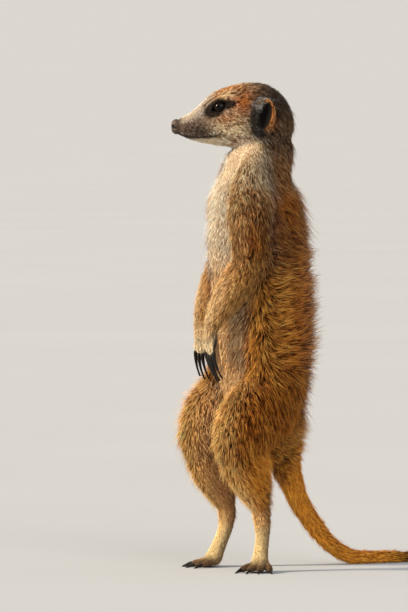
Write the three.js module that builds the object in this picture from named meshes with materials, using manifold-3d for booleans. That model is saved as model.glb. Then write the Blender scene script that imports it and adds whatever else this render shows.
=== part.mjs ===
// A meerkat standing upright on its hind feet, propped on its tail, with its head turned to its right.
// Life size, in millimetres. +Z is up. The trunk faces -Y and the animal's left side is +X.
// Every flesh piece is the outer form of its coat, so its surface lies at the tips of the fur.
import * as THREE from "three";
import { ParametricGeometry } from "three/addons/geometries/ParametricGeometry.js";
import { mergeVertices } from "three/addons/utils/BufferGeometryUtils.js";
import Module from "manifold-3d";

const wasm = await Module();
wasm.setup();

// ---------------------------------------------------------------- driving sizes
const GAP = 0.3; // clearance between neighbouring pieces
const FAR = 400; // a length beyond the whole animal
const HEAD_TURN = 30; // degrees that the head turns to the animal's right, from the trunk
const CHEST_TURN = 13; // degrees that the shoulders turn the same way
const NECK_PLANE = 243; // height at which the neck leaves the trunk
const NOSE_REACH = 54.3; // nose tip to the middle of the neck
const EYE_RADIUS = 5.1;
const EYE_CENTRE = [12.2, -22.4, 286.2]; // in the head's own frame: side, front, height
const EAR_CENTRE = [22.2, 3.4, 280.8];
const EAR_SIZE = [4.2, 8.4, 12.2]; // half thickness, half width, half height
const CONCH_CENTRE = [25.8, 3.8, 281.8];
const CONCH_SIZE = [3.6, 4.1, 8.8];
const TAIL_CUTS = [0.3, 0.62]; // where the tail is divided, as shares of its stations
const DIGITS = 4;

// A station of a form: where its middle is, and how far it reaches to the side, the front and the back of it.
const station = (x, y, z, side, front = side, back = front) => ({
  at: new THREE.Vector3(x, y, z),
  reach: new THREE.Vector3(side, front, back),
});

// ---------------------------------------------------------------- forms
const X = new THREE.Vector3(1, 0, 0);
const turnedDown = (degrees) => new THREE.Matrix4().makeRotationZ(-THREE.MathUtils.degToRad(degrees));
const headFrame = turnedDown(HEAD_TURN);
const chestFrame = turnedDown(CHEST_TURN);

// How far a ring is drawn in near the pole at either end: an elliptic cap over a share of the length.
function capScale(t, [start, end]) {
  const inset = (share, left) => (left < share ? Math.sqrt(1 - ((share - left) / share) ** 2) : 1);
  return inset(start, t) * inset(end, 1 - t);
}

// Stations are crowded towards both ends, so that the caps stay round.
const eased = (v) => (1 - Math.cos(Math.PI * v)) / 2;

// A closed geometry becomes a solid that can be joined and cut.
function solidOf(geometry) {
  const bare = new THREE.BufferGeometry();
  bare.setAttribute("position", geometry.getAttribute("position"));
  if (geometry.index) bare.setIndex(geometry.index);
  const merged = mergeVertices(bare, 1e-4);
  return new wasm.Manifold(
    new wasm.Mesh({
      numProp: 3,
      vertProperties: new Float32Array(merged.getAttribute("position").array),
      triVerts: new Uint32Array(merged.index.array),
    }),
  );
}

const smoothThrough = (points) => new THREE.CatmullRomCurve3(points, false, "catmullrom");

// A limb-like form: oval rings carried along a smooth curve through the stations, closed by round ends.
// The rings turn about the curve by twist degrees from one end to the other, and grow swells them all round.
function formOf({ stations, side = X, cap = [0.12, 0.12], twist = 0, around = 10, along = 7, frame = null }) {
  const middle = smoothThrough(stations.map((s) => s.at));
  const reach = smoothThrough(stations.map((s) => s.reach));
  const falls = stations[0].at.z > stations.at(-1).at.z;
  return (grow = 0) => {
    const point = (u, v, target) => {
      const t = eased(v);
      const ring = capScale(t, cap);
      const size = reach.getPoint(t).addScalar(grow);
      const tangent = middle.getTangent(t);
      const across = side.clone().addScaledVector(tangent, -side.dot(tangent)).normalize();
      across.applyAxisAngle(tangent, -THREE.MathUtils.degToRad(twist * t));
      const back = tangent.clone().cross(across);
      const a = 2 * Math.PI * (u % 1);
      const depth = Math.sin(a) > 0 !== falls ? size.z : size.y;
      target.copy(middle.getPoint(t));
      target.addScaledVector(tangent, grow * (2 * v - 1));
      target.addScaledVector(across, ring * size.x * Math.cos(a));
      target.addScaledVector(back, ring * depth * Math.sin(a));
      if (frame) target.applyMatrix4(frame);
    };
    return solidOf(new ParametricGeometry(point, around, along));
  };
}

// The other side's form: stations mirrored in the middle plane.
const mirrored = (s) => ({ at: s.at.clone().setX(-s.at.x), reach: s.reach.clone() });

function ellipsoid(centre, size, frame, tilt = new THREE.Euler(), around = 10, along = 6) {
  return (grow = 0) => {
    const ball = new THREE.SphereGeometry(1, around, along);
    ball.scale(size[0] + grow, size[1] + grow, size[2] + grow);
    ball.applyMatrix4(new THREE.Matrix4().makeRotationFromEuler(tilt));
    ball.translate(...centre);
    if (frame) ball.applyMatrix4(frame);
    return solidOf(ball);
  };
}

// A box between two corners, for plane cuts.
function block(low, high) {
  const box = new THREE.BoxGeometry(high[0] - low[0], high[1] - low[1], high[2] - low[2]);
  box.translate((low[0] + high[0]) / 2, (low[1] + high[1]) / 2, (low[2] + high[2]) / 2);
  return box;
}
const aboveFloor = solidOf(block([-FAR, -FAR, 0], [FAR, FAR, FAR]));

// ---------------------------------------------------------------- head
// From the back of the skull to the nose: how far forward, the top, the bottom, half the width and the height
// where the head is widest.
const HEAD_PROFILE = [
  [-22.2, 297.0, 260.0, 22.6, 276.0],
  [-13.0, 299.0, 258.6, 23.6, 277.5],
  [-2.0, 301.6, 258.0, 23.8, 278.5],
  [8.0, 301.8, 259.4, 22.8, 278.0],
  [16.0, 300.2, 260.9, 20.2, 277.5],
  [23.5, 297.6, 262.0, 16.9, 277.0],
  [30.0, 294.2, 263.2, 12.8, 275.5],
  [36.0, 288.3, 264.3, 9.6, 273.5],
  [42.0, 283.2, 266.0, 7.5, 272.8],
  [47.5, 280.2, 268.0, 6.1, 272.9],
  [52.2, 277.8, 269.4, 4.9, 273.2],
];
const HEAD_CAP = [0.2, 0.06];
const HEAD_AROUND = 20;
const HEAD_ALONG = 16;
const HEAD_SQUARENESS = 2.25; // 2 is an ellipse; more is boxier

function headForm(grow = 0) {
  const column = (a, b, c) => smoothThrough(HEAD_PROFILE.map((p) => new THREE.Vector3(p[a], p[b], p[c])));
  const profile = column(0, 1, 2);
  const breadth = column(0, 3, 4);
  const rounded = (c) => Math.sign(c) * Math.abs(c) ** (2 / HEAD_SQUARENESS);
  const point = (u, v, target) => {
    const t = eased(v);
    const ring = capScale(t, HEAD_CAP);
    const { x: forward, y: top, z: bottom } = profile.getPoint(t);
    const { y: half, z: widest } = breadth.getPoint(t);
    const a = 2 * Math.PI * (u % 1);
    const rise = Math.sin(a) > 0 ? top - widest + grow : widest - bottom + grow;
    target.set(
      ring * (half + grow) * rounded(Math.cos(a)),
      -forward - grow * (2 * v - 1),
      widest + ring * rise * rounded(Math.sin(a)),
    );
    target.applyMatrix4(headFrame);
  };
  return solidOf(new ParametricGeometry(point, HEAD_AROUND, HEAD_ALONG));
}

const bothSides = [
  { name: "left", sign: 1 },
  { name: "right", sign: -1 },
];
const onSide = (sign, [x, y, z]) => [sign * x, y, z];
const eyes = bothSides.map(({ sign }) =>
  ellipsoid(onSide(sign, EYE_CENTRE), [EYE_RADIUS, EYE_RADIUS, EYE_RADIUS], headFrame),
);
const nose = ellipsoid([0, -NOSE_REACH + 3.6, 274.2], [4.5, 3.6, 4.9], headFrame, new THREE.Euler(), 10, 6);

// An ear is a flat oval standing off the skull at its rear edge, with a deep oval conch open to the front.
const EAR_FLARE = 24; // degrees that the rear edge stands off
const EAR_LEAN = 10; // degrees that the top leans back
const ears = bothSides.map(({ sign }) => {
  const tilt = new THREE.Euler(
    THREE.MathUtils.degToRad(-EAR_LEAN),
    0,
    THREE.MathUtils.degToRad(-sign * EAR_FLARE),
  );
  const shell = ellipsoid(onSide(sign, EAR_CENTRE), EAR_SIZE, headFrame, tilt, 12, 7);
  const conch = ellipsoid(onSide(sign, CONCH_CENTRE), CONCH_SIZE, headFrame, tilt, 8, 5);
  return { shell, conch };
});

// The lower jaw's side outline, forward and up, from the chin to the corner of the mouth.
const JAW_OUTLINE = [
  [50, 267.6],
  [44.5, 267.4],
  [36, 267.2],
  [27, 268.3],
  [21, 269.8],
  [19.5, 250],
  [50, 250],
];
function jawPrism(grow = 0) {
  const corners = JAW_OUTLINE.map(([forward, up]) => new THREE.Vector2(forward, up + grow));
  const outline = new THREE.Shape(corners);
  const prism = new THREE.ExtrudeGeometry(outline, { depth: 60, bevelEnabled: false });
  prism.translate(0, 0, -30);
  // The outline's (forward, up) become the head's (-Y, Z).
  const ahead = new THREE.Vector3(0, -1, 0);
  const up = new THREE.Vector3(0, 0, 1);
  prism.applyMatrix4(new THREE.Matrix4().makeBasis(ahead, up, new THREE.Vector3(-1, 0, 0)));
  prism.applyMatrix4(headFrame);
  return solidOf(prism);
}

// ---------------------------------------------------------------- neck and trunk
const torso = formOf({
  stations: [
    station(0, 8.5, 60, 13, 11, 9),
    station(0, 8.5, 74, 19, 15, 13.6),
    station(0, 5.5, 93, 28, 21, 19),
    station(0, 2.5, 115, 32.5, 26),
    station(0, 1, 140, 34, 29.3),
    station(0, 1, 166, 33, 29.9),
    station(0, -1, 191, 31, 29.2),
    station(0, -2.4, 216, 30, 28),
    station(0, -3, 233, 26.5, 25.4),
    station(0, -1.5, 247, 21.2, 20.6, 21.6),
    station(0, 1.2, 260, 20.6, 18.8, 21.6),
    station(0, 2.4, 276, 20, 17, 20.6),
  ],
  cap: [0.1, 0.05],
  twist: HEAD_TURN * 0.7,
  around: 18,
  along: 16,
});

// ---------------------------------------------------------------- arms
// Upper arms are mirror images in the chest's frame and swing with it, the right one a little further back.
// The forearms come round the belly to the hands, which hang side by side in front of it.
const upperArmStations = (swing) => [
  station(22, -11 + swing, 243, 7.5, 8.5),
  station(26.5, -14 + swing, 228, 10.5, 12.5),
  station(28.2, -14.5 + swing, 210, 10, 11.8),
  station(27.5, -13.5 + swing, 193, 9, 9.6),
  station(27, -12.5 + swing, 185, 7, 7),
];
const armPlans = {
  left: {
    swing: 0,
    forearm: [
      station(24.5, -19, 193, 9, 9.6),
      station(22.4, -24, 184, 10.2, 10.8),
      station(19, -28.9, 174.5, 9.6, 10.8),
      station(13.8, -36.1, 160, 7.4, 8),
      station(11, -39.2, 152, 5.7, 5.6),
      station(9.8, -39.8, 147, 5, 4.7),
    ],
    wrist: [9.8, -39.8, 150],
    knuckle: [9.2, -39.2, 140],
  },
  right: {
    swing: 4,
    forearm: [
      station(-29.5, -5, 193, 8.6, 9.2),
      station(-30.4, -9, 184, 9.4, 10),
      station(-28.6, -14.6, 175.5, 9, 9.8),
      station(-22.6, -23.4, 162.6, 7.4, 8),
      station(-14, -32, 152, 5.7, 5.6),
      station(-10.6, -34.4, 147, 5, 4.7),
    ],
    wrist: [-10.4, -34.6, 150],
    knuckle: [-9.8, -35, 140],
  },
};
const arms = bothSides.map(({ name, sign }) => {
  const plan = armPlans[name];
  const stations = upperArmStations(plan.swing);
  return {
    name,
    sign,
    wrist: new THREE.Vector3(...plan.wrist),
    knuckle: new THREE.Vector3(...plan.knuckle),
    upper: formOf({
      stations: sign > 0 ? stations : stations.map(mirrored),
      cap: [0.3, 0.25],
      frame: chestFrame,
      around: 12,
      along: 8,
    }),
    forearm: formOf({ stations: plan.forearm, cap: [0.22, 0.1], along: 8 }),
  };
});

// ---------------------------------------------------------------- legs
// The middle of each leg at its joints, and the way its toes point, in degrees outwards from straight ahead.
const legPlans = {
  left: {
    knee: [21, -25.3, 83],
    calf: [21, -19.1, 60],
    hock: [21, -10.9, 39],
    instep: [21.4, -9, 25],
    ball: [26, -14, 4.6],
    toesOut: 46,
  },
  right: {
    knee: [-20.5, -25, 85],
    calf: [-21, -18.5, 59],
    hock: [-21, -10.3, 38.5],
    instep: [-21, -9.6, 27],
    ball: [-23.4, -18.4, 4.6],
    toesOut: 12,
  },
};
const legs = bothSides.map(({ name, sign }) => {
  const plan = legPlans[name];
  const [knee, calf, hock, instep, ball] = [plan.knee, plan.calf, plan.hock, plan.instep, plan.ball].map(
    (p) => new THREE.Vector3(...p),
  );
  const toes = THREE.MathUtils.degToRad(plan.toesOut) * sign;
  const ahead = new THREE.Vector3(Math.sin(toes), -Math.cos(toes), 0);
  const at = (p, side, front, back = front) => station(p.x, p.y, p.z, side, front, back);
  const from = (p, y, z) => p.clone().add(new THREE.Vector3(0, y, z));
  const between = (a, b, share) => a.clone().lerp(b, share);
  const thigh = formOf({
    stations: [
      station(sign * 14, 7, 124, 12, 17, 13),
      station(sign * 17.5, 2.5, 111, 15, 23, 17),
      station(sign * 20, -8, 100.5, 16, 24, 20),
      at(from(knee, 7, 8.5), 15.2, 21, 19),
      at(from(knee, -0.5, -1), 13.6, 16.6, 16),
      at(from(knee, -0.5, -13), 11.5, 14, 13),
    ],
    cap: [0.25, 0.2],
    around: 14,
    along: 10,
  });
  const shank = formOf({
    stations: [
      at(between(knee, calf, 0.2), 12, 14),
      at(between(knee, calf, 0.6), 12.8, 16, 15.2),
      at(calf, 11.4, 15, 14.6),
      at(between(calf, hock, 0.55), 9, 11.4),
      at(hock, 6.6, 7.6),
      at(between(hock, instep, 0.5), 5.8, 5.8),
    ],
    cap: [0.2, 0.1],
    around: 12,
    along: 9,
  });
  const foot = formOf({
    stations: [
      at(from(hock, 0, 3), 5.8, 6.4),
      at(between(hock, instep, 0.6), 5.6, 5.5),
      at(between(instep, ball, 0.15), 5.3, 5.1),
      at(between(instep, ball, 0.6), 5.4, 5.1),
      at(ball, 6.6, 5.6),
      at(from(ball, 0, -5), 6.2, 5.2),
    ],
    cap: [0.1, 0.12],
  });
  return { name, sign, ball, ahead, thigh, shank, foot };
});

// ---------------------------------------------------------------- digits and claws
// A digit is a short tapered form from its knuckle to its tip, and its claw is a curved horn that starts
// inside the tip. The side of the pads is down, and the claw curves towards it.
function digitForms({ knuckle, tip, radius, clawLength, clawRadius, down }) {
  const along = tip.clone().sub(knuckle);
  const length = along.length();
  const side = along.clone().cross(down).normalize();
  const ahead = along.clone().normalize();
  const at = (share, drop, r) => {
    const p = knuckle.clone().addScaledVector(along, share).addScaledVector(down, drop);
    return station(p.x, p.y, p.z, r);
  };
  const toe = formOf({
    stations: [
      at(-0.2, 0, radius),
      at(0.3, -0.12 * length, radius),
      at(0.75, -0.04 * length, radius * 0.95),
      at(1.1, 0, radius * 0.8),
    ],
    side,
    cap: [0.2, 0.24],
    around: 6,
    along: 4,
  });
  const bend = (share) => {
    const p = tip
      .clone()
      .addScaledVector(ahead, clawLength * (share * 1.12 - 0.12))
      .addScaledVector(down, clawLength * (0.34 * share * share - 0.03));
    const thickness = clawRadius * (1 - 0.82 * share);
    return station(p.x, p.y, p.z, thickness, thickness * 1.35);
  };
  const shares = [0, 0.3, 0.6, 0.85, 1];
  const claw = formOf({ stations: shares.map(bend), side, cap: [0.1, 0.05], around: 5, along: 4 });
  return { toe, claw };
}

// Four fingers hang from each hand, a little spread; the palm faces the belly.
function handDigits({ sign, wrist, knuckle }) {
  const hang = knuckle.clone().sub(wrist).normalize();
  const palmward = new THREE.Vector3(0.15 * sign, 1, 0).normalize();
  const across = palmward.clone().cross(hang).normalize();
  return Array.from({ length: DIGITS }, (_, i) => {
    const spread = i - (DIGITS - 1) / 2;
    const root = knuckle.clone();
    root.addScaledVector(across, spread * 2.9).addScaledVector(hang, -Math.abs(spread) * 0.8);
    const reach = 8.2 - Math.abs(spread) * 1.1;
    const tip = root.clone().addScaledVector(hang, reach).addScaledVector(across, spread * 0.5);
    return digitForms({ knuckle: root, tip, radius: 2.0, clawLength: 15, clawRadius: 1.15, down: palmward });
  });
}

// Four toes fan out from the ball of each hind foot and rest on the floor.
function footDigits({ sign, ball, ahead }) {
  const floorward = new THREE.Vector3(0, 0, -1);
  const across = ahead.clone().cross(floorward).normalize().multiplyScalar(sign);
  return Array.from({ length: DIGITS }, (_, i) => {
    const spread = i - (DIGITS - 1) / 2;
    const root = ball.clone().addScaledVector(across, spread * 3.3).setZ(1.9);
    const reach = 15 - Math.abs(spread) * 2.6;
    const tip = root.clone().addScaledVector(ahead, reach).addScaledVector(across, spread * 3).setZ(1.5);
    return digitForms({ knuckle: root, tip, radius: 2.7, clawLength: 6, clawRadius: 1.1, down: floorward });
  });
}

// ---------------------------------------------------------------- tail
// It leaves the rump, reaches down and back to the floor, and lies along it to its dark tip.
const tailStations = [
  station(0, 6, 84, 10, 10),
  station(0, 17, 72, 9, 9.4),
  station(0, 22.5, 56, 7.8, 7.8),
  station(0, 30, 40, 6.9, 6.9),
  station(0, 40.5, 25.5, 6.2, 6.2),
  station(0.5, 52.5, 12.6, 5.6, 5.6),
  station(1.5, 68, 4.8, 5.1, 5.1),
  station(3.5, 88, 3.9, 4.6, 4.4),
  station(7, 108, 3.3, 4.1, 3.8),
  station(11.5, 128, 2.8, 3.7, 3.3),
  station(15.5, 147, 2.4, 3.3, 2.9),
  station(18, 166, 2.2, 2.8, 2.7),
];
const tail = formOf({ stations: tailStations, cap: [0.06, 0.03], around: 10, along: 22 });
const tailMiddle = smoothThrough(tailStations.map((s) => s.at));

// The half of space beyond a cut across the tail, at a share of its stations.
function beyondTailCut(share, grow) {
  const half = block([-FAR, -FAR, grow], [FAR, FAR, FAR]);
  const tangent = tailMiddle.getTangent(share);
  half.applyQuaternion(new THREE.Quaternion().setFromUnitVectors(new THREE.Vector3(0, 0, 1), tangent));
  half.translate(...tailMiddle.getPoint(share));
  return solidOf(half);
}

// ---------------------------------------------------------------- the pieces
const pieces = new Map();
const keep = (name, solid, colour, roughness = 0.85) => pieces.set(name, { solid, colour, roughness });
const cutBy = (solid, ...forms) => forms.reduce((left, form) => left.subtract(form(GAP)), solid);
const largest = (solid) => solid.decompose().sort((a, b) => b.volume() - a.volume())[0];

const COAT = {
  sand: 0xc79a5b,
  flank: 0xa9662c,
  pale: 0xd9c4a0,
  face: 0xbfa98c,
  dark: 0x2a1c15,
  limb: 0xcbb083,
};

const wholeHead = cutBy(headForm(), ...eyes, nose, ...ears.map((e) => e.shell));
keep("head", largest(wholeHead.subtract(jawPrism(GAP))), COAT.face);
keep("lower_jaw", largest(cutBy(headForm(), nose).intersect(jawPrism())), COAT.pale);
keep("nose", nose(), COAT.dark, 0.45);
bothSides.forEach(({ name }, i) => {
  keep("eye_" + name, eyes[i](), 0x150c08, 0.15);
  keep("ear_" + name, largest(ears[i].shell().subtract(ears[i].conch())), COAT.dark);
});

const upperArms = arms.map((a) => a.upper);
const forearms = arms.map((a) => a.forearm);
const thighs = legs.map((l) => l.thigh);
const aboveNeckPlane = (gap) => solidOf(block([-FAR, -FAR, NECK_PLANE + gap], [FAR, FAR, FAR]));
const neckOnly = torso().intersect(aboveNeckPlane(GAP / 2));
keep("neck", largest(cutBy(neckOnly, headForm, ...ears.map((e) => e.shell), ...upperArms)), COAT.pale);
const trunkOnly = torso().subtract(aboveNeckPlane(-GAP / 2));
keep("trunk", largest(cutBy(trunkOnly, ...upperArms, ...forearms, ...thighs, tail)), COAT.flank);

for (const arm of arms) {
  const digits = handDigits(arm);
  const palmForm = formOf({
    stations: [
      station(...arm.wrist, 4.6, 4),
      station(...arm.wrist.clone().lerp(arm.knuckle, 0.5), 5.4, 3.8),
      station(...arm.knuckle, 6, 3.4),
      station(...arm.wrist.clone().lerp(arm.knuckle, 1.22), 5.2, 2.8),
    ],
    cap: [0.2, 0.3],
    along: 6,
  });
  const hand = digits.reduce((whole, digit) => whole.add(digit.toe()), palmForm());
  const handGrown = digits.reduce((whole, digit) => whole.add(digit.toe(GAP)), palmForm(GAP));
  keep("upper_arm_" + arm.name, largest(arm.upper()), COAT.flank);
  keep("forearm_" + arm.name, largest(cutBy(arm.forearm(), arm.upper)), COAT.limb);
  keep("hand_" + arm.name, largest(cutBy(hand, arm.forearm)), COAT.limb);
  digits.forEach((digit, i) => {
    keep(`claw_hand_${arm.name}_${i + 1}`, largest(digit.claw().subtract(handGrown)), COAT.dark, 0.35);
  });
}

for (const leg of legs) {
  const inner = leg.sign > 0 ? GAP / 2 : -FAR;
  const outer = leg.sign > 0 ? FAR : -GAP / 2;
  const ownSide = solidOf(block([inner, -FAR, 0], [outer, FAR, FAR]));
  const digits = footDigits(leg);
  const toes = digits.reduce((whole, digit) => whole.add(digit.toe()), leg.foot());
  const footGrown = digits.reduce((whole, digit) => whole.add(digit.toe(GAP)), leg.foot(GAP));
  keep("thigh_" + leg.name, largest(cutBy(leg.thigh(), tail).intersect(ownSide)), COAT.flank);
  keep("shank_" + leg.name, largest(cutBy(leg.shank(), leg.thigh, tail)), COAT.sand);
  keep("foot_" + leg.name, largest(cutBy(toes, leg.shank).intersect(aboveFloor)), COAT.limb);
  digits.forEach((digit, i) => {
    const claw = digit.claw().subtract(footGrown).intersect(aboveFloor);
    keep(`claw_foot_${leg.name}_${i + 1}`, largest(claw), COAT.dark, 0.35);
  });
}

const [firstCut, secondCut] = TAIL_CUTS;
const restingTail = tail().intersect(aboveFloor);
const pastFirst = restingTail.intersect(beyondTailCut(firstCut, GAP / 2));
keep("tail_base", largest(restingTail.subtract(beyondTailCut(firstCut, -GAP / 2))), COAT.sand);
keep("tail_middle", largest(pastFirst.subtract(beyondTailCut(secondCut, -GAP / 2))), COAT.sand);
keep("tail_tip", largest(pastFirst.intersect(beyondTailCut(secondCut, GAP / 2))), COAT.dark);

// ---------------------------------------------------------------- the scene
function meshOf(name, { solid, colour, roughness }) {
  const { vertProperties, triVerts } = solid.getMesh();
  const geometry = new THREE.BufferGeometry();
  geometry.setAttribute("position", new THREE.BufferAttribute(new Float32Array(vertProperties), 3));
  geometry.setIndex(new THREE.BufferAttribute(new Uint32Array(triVerts), 1));
  const material = new THREE.MeshStandardMaterial({ color: colour, roughness, metalness: 0 });
  const mesh = new THREE.Mesh(geometry, material);
  mesh.name = name;
  return mesh;
}

const meerkat = new THREE.Group();
for (const [name, piece] of pieces) meerkat.add(meshOf(name, piece));

// The origin is the middle of the model's own footprint, on the floor.
const extent = new THREE.Box3().setFromObject(meerkat);
const centre = extent.getCenter(new THREE.Vector3());
meerkat.children.forEach((mesh) => mesh.position.set(-centre.x, -centre.y, 0));

export default meerkat;
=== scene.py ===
# %% [markdown]
# # A meerkat on guard
# A meerkat stands on its hind feet, leans on its tail and looks to its right. The imported solids are the
# outer form of its coat. This notebook builds what a visitor sees: one skin a little inside those solids,
# the eyes, nose and claws, and a coat of many thousand small locks of hair that grow from the skin.
# The first cell loads the solids as a fixed frame.

# %% Loading the frame
import math
import bmesh
import bpy
import numpy as np
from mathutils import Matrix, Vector


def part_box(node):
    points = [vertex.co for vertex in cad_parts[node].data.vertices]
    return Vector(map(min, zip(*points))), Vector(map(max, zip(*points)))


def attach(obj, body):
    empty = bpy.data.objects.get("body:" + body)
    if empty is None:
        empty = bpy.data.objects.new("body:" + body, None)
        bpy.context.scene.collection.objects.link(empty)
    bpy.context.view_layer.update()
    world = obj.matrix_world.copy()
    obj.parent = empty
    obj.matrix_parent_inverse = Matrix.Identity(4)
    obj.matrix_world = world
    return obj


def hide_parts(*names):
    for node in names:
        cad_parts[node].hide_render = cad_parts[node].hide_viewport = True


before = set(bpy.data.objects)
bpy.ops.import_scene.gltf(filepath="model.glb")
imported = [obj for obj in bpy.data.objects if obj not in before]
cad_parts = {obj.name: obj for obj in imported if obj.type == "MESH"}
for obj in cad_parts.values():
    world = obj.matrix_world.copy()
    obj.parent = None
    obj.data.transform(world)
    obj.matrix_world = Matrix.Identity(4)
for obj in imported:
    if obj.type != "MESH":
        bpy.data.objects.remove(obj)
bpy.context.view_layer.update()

# %% [markdown]
# ## The animal's own measures
# Sizes are easiest to read in millimetres, with the trunk facing -Y, the left side at +X and the floor at
# height 0. The head has a frame of its own, turned about the upright axis. The solids were centred on
# their footprint, and the left eye tells by how much, so the eye's solid links the two frames.

# %% Frames and units
MM = 0.001
HEAD_TURN = 30.0      # degrees that the head looks to the animal's right
CHEST_TURN = 13.0     # degrees that the shoulders follow it
TRUNK_TWIST = 0.7 * HEAD_TURN    # degrees that the trunk twists from rump to neck
EYE_SOLID = np.array([12.2, -22.4, 286.2])   # middle of the left eye's solid, in the head's frame
HAIR_SEED = 11


def turned(points, degrees):
    """Points turned about the upright axis: x' = x cos a + y sin a, y' = y cos a - x sin a."""
    a = math.radians(degrees)
    x, y, z = np.moveaxis(np.asarray(points, float), -1, 0)
    return np.stack([x * math.cos(a) + y * math.sin(a), y * math.cos(a) - x * math.sin(a), z], -1)


eye_low, eye_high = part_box("eye_left")
SHIFT = (np.array(eye_low) + np.array(eye_high)) / 2 / MM - turned(EYE_SOLID, HEAD_TURN)
SHIFT[2] = 0.0


def placed(points):
    """Millimetres in the animal's frame become metres in the frame of the solids."""
    return (np.asarray(points, float) + SHIFT) * MM


print("the animal's axis stands at", SHIFT.round(2), "mm")

# %% [markdown]
# ## Ramps and bells
# Markings, hair lengths and folds all fade softly from one place to the next. Two small functions are
# enough for that: a step with rounded ends, and a bell that is 1 in the middle of a patch. A third makes
# vectors 1 long.

# %% Soft steps


def ramp(x, low, high):
    """0 at low, 1 at high, and t t (3 - 2 t) between them, where t is the share of the way."""
    t = np.clip((np.asarray(x, float) - low) / (high - low), 0, 1)
    return t * t * (3 - 2 * t)


def bell(points, centre, size):
    """exp(-d d), where d is the distance from the centre, measured in sizes along each axis."""
    d = (np.asarray(points) - np.array(centre)) / np.array(size)
    return np.exp(-(d * d).sum(-1))


def unit(vectors):
    """Each vector divided by its length."""
    return vectors / np.maximum(np.linalg.norm(vectors, axis=-1, keepdims=True), 1e-9)


# %% [markdown]
# ## Forms
# A limb, a trunk or a tail is a row of oval rings carried along a smooth curve. The curve passes through a
# few stations, and the rings shrink to a point over a share of the length at either end. This is how the
# solids were made too, so the same stations give the same shape; here every ring is drawn in by the depth
# of the coat, and there are more of them.

# %% Curves and rings


def smooth_through(points, t):
    """A Catmull-Rom curve: between two stations the cubic whose slopes are half the step between their
    neighbours, with the end stations mirrored once to give the ends a slope."""
    p = np.asarray(points, float)
    p = np.vstack([2 * p[:1] - p[1:2], p, 2 * p[-1:] - p[-2:-1]])
    at = np.clip(t, 0, 1) * (len(p) - 3)
    i = np.minimum(at.astype(int), len(p) - 4)
    w = (at - i)[..., None]
    before, start, end, after = p[i], p[i + 1], p[i + 2], p[i + 3]
    out, into = (end - before) / 2, (after - start) / 2
    step = end - start
    return start + out * w + (3 * step - 2 * out - into) * w**2 + (out + into - 2 * step) * w**3


def eased(v):
    """Half a cosine wave, which crowds the rings towards both ends."""
    return (1 - np.cos(np.pi * v)) / 2


def cap_scale(t, cap):
    """How far a ring is drawn in: a quarter of an ellipse over the cap's share of the length at each end."""
    near_start = np.clip((cap[0] - t) / cap[0], 0, 1)
    near_end = np.clip((cap[1] - 1 + t) / cap[1], 0, 1)
    return np.sqrt(1 - near_start**2) * np.sqrt(1 - near_end**2)


def closed_grid(rings):
    """Points and triangles of a closed surface from an array of rings, whose first and last are poles."""
    n, m = rings.shape[:2]
    points = np.vstack([rings[0, :1], rings[1:-1].reshape(-1, 3), rings[-1, :1]])
    j = np.arange(m)
    after = (j + 1) % m
    low = 1 + np.arange(n - 3)[:, None] * m
    a, b, c, d = low + j, low + after, low + m + after, low + m + j
    sides = np.stack([np.stack([a, b, c], -1), np.stack([a, c, d], -1)], 2).reshape(-1, 3)
    last = 1 + (n - 3) * m
    start = np.stack([np.zeros(m, int), 1 + after, 1 + j], -1)
    end = np.stack([np.full(m, len(points) - 1), last + j, last + after], -1)
    faces = np.vstack([start, sides, end])
    corner = points[faces]
    volume = np.einsum("ij,ij->", corner[:, 0], np.cross(corner[:, 1], corner[:, 2]))
    return points, faces if volume > 0 else faces[:, ::-1]


class Form:
    """A row of stations (x, y, z, side, front, back) with its surface and its axis.

    The axis is kept as samples with a direction, a reach and two cross directions, so that any place on the
    finished skin can be told which form it belongs to, how far along it and on which side it is."""

    def __init__(self, stations, cap=(0.12, 0.12), twist=0.0, turn=0.0, depth=0.0, side=(1, 0, 0),
                 around=40, along=48, samples=28):
        table = np.array([tuple(s) + (s[-1],) * (6 - len(s)) for s in stations], float)
        self.table, self.cap, self.twist, self.turn = table, cap, twist, turn
        self.side, self.depth = np.array(side, float), depth
        v = np.linspace(0, 1, along + 1)
        self.points, self.faces = closed_grid(self.rings(v, around))
        t = (np.arange(samples) + 0.5) / samples
        self.middle, self.tangent, self.across, self.back = (turned(a, turn) for a in self.axes(t))
        self.reach = smooth_through(table[:, 3:], t).mean(1)
        self.length = float(np.linalg.norm(np.diff(self.middle, axis=0), axis=1).sum())

    def axes(self, t):
        """The middle, the direction, and the two cross directions of the ring at each share of the length."""
        middle = smooth_through(self.table[:, :3], t)
        tangent = unit(smooth_through(self.table[:, :3], t + 1e-4) - smooth_through(self.table[:, :3], t - 1e-4))
        across = unit(self.side - (tangent @ self.side)[:, None] * tangent)
        angle = -np.radians(self.twist) * t[:, None]
        across = across * np.cos(angle) + np.cross(tangent, across) * np.sin(angle)
        return middle, tangent, across, np.cross(tangent, across)

    def rings(self, v, around):
        """middle + ring (side cos a across + depth sin a back), drawn in by the coat's depth."""
        t = eased(v)
        middle, tangent, across, back = self.axes(t)
        deep = np.asarray(self.depth, float)
        drawn_in = deep if deep.ndim < 2 else smooth_through(deep, t)
        size = np.maximum(smooth_through(self.table[:, 3:], t) - drawn_in, 0.6)
        ring = cap_scale(t, self.cap)[:, None]
        a = 2 * np.pi * np.arange(around) / around
        falls = self.table[0, 2] > self.table[-1, 2]
        reach = np.where((np.sin(a) > 0) != falls, size[:, 2:3], size[:, 1:2])
        pull = float(np.mean(deep)) * (2 * v - 1)
        points = (
            (middle - tangent * pull[:, None])[:, None]
            + across[:, None] * (ring * size[:, :1] * np.cos(a))[..., None]
            + back[:, None] * (ring * reach * np.sin(a))[..., None]
        )
        return turned(points, self.turn)


# %% [markdown]
# ## The head's form
# The head is measured in profile: for each step forward its top, its bottom, half its width and the height
# where it is widest. A slightly boxy oval through those four points is the section there.

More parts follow.
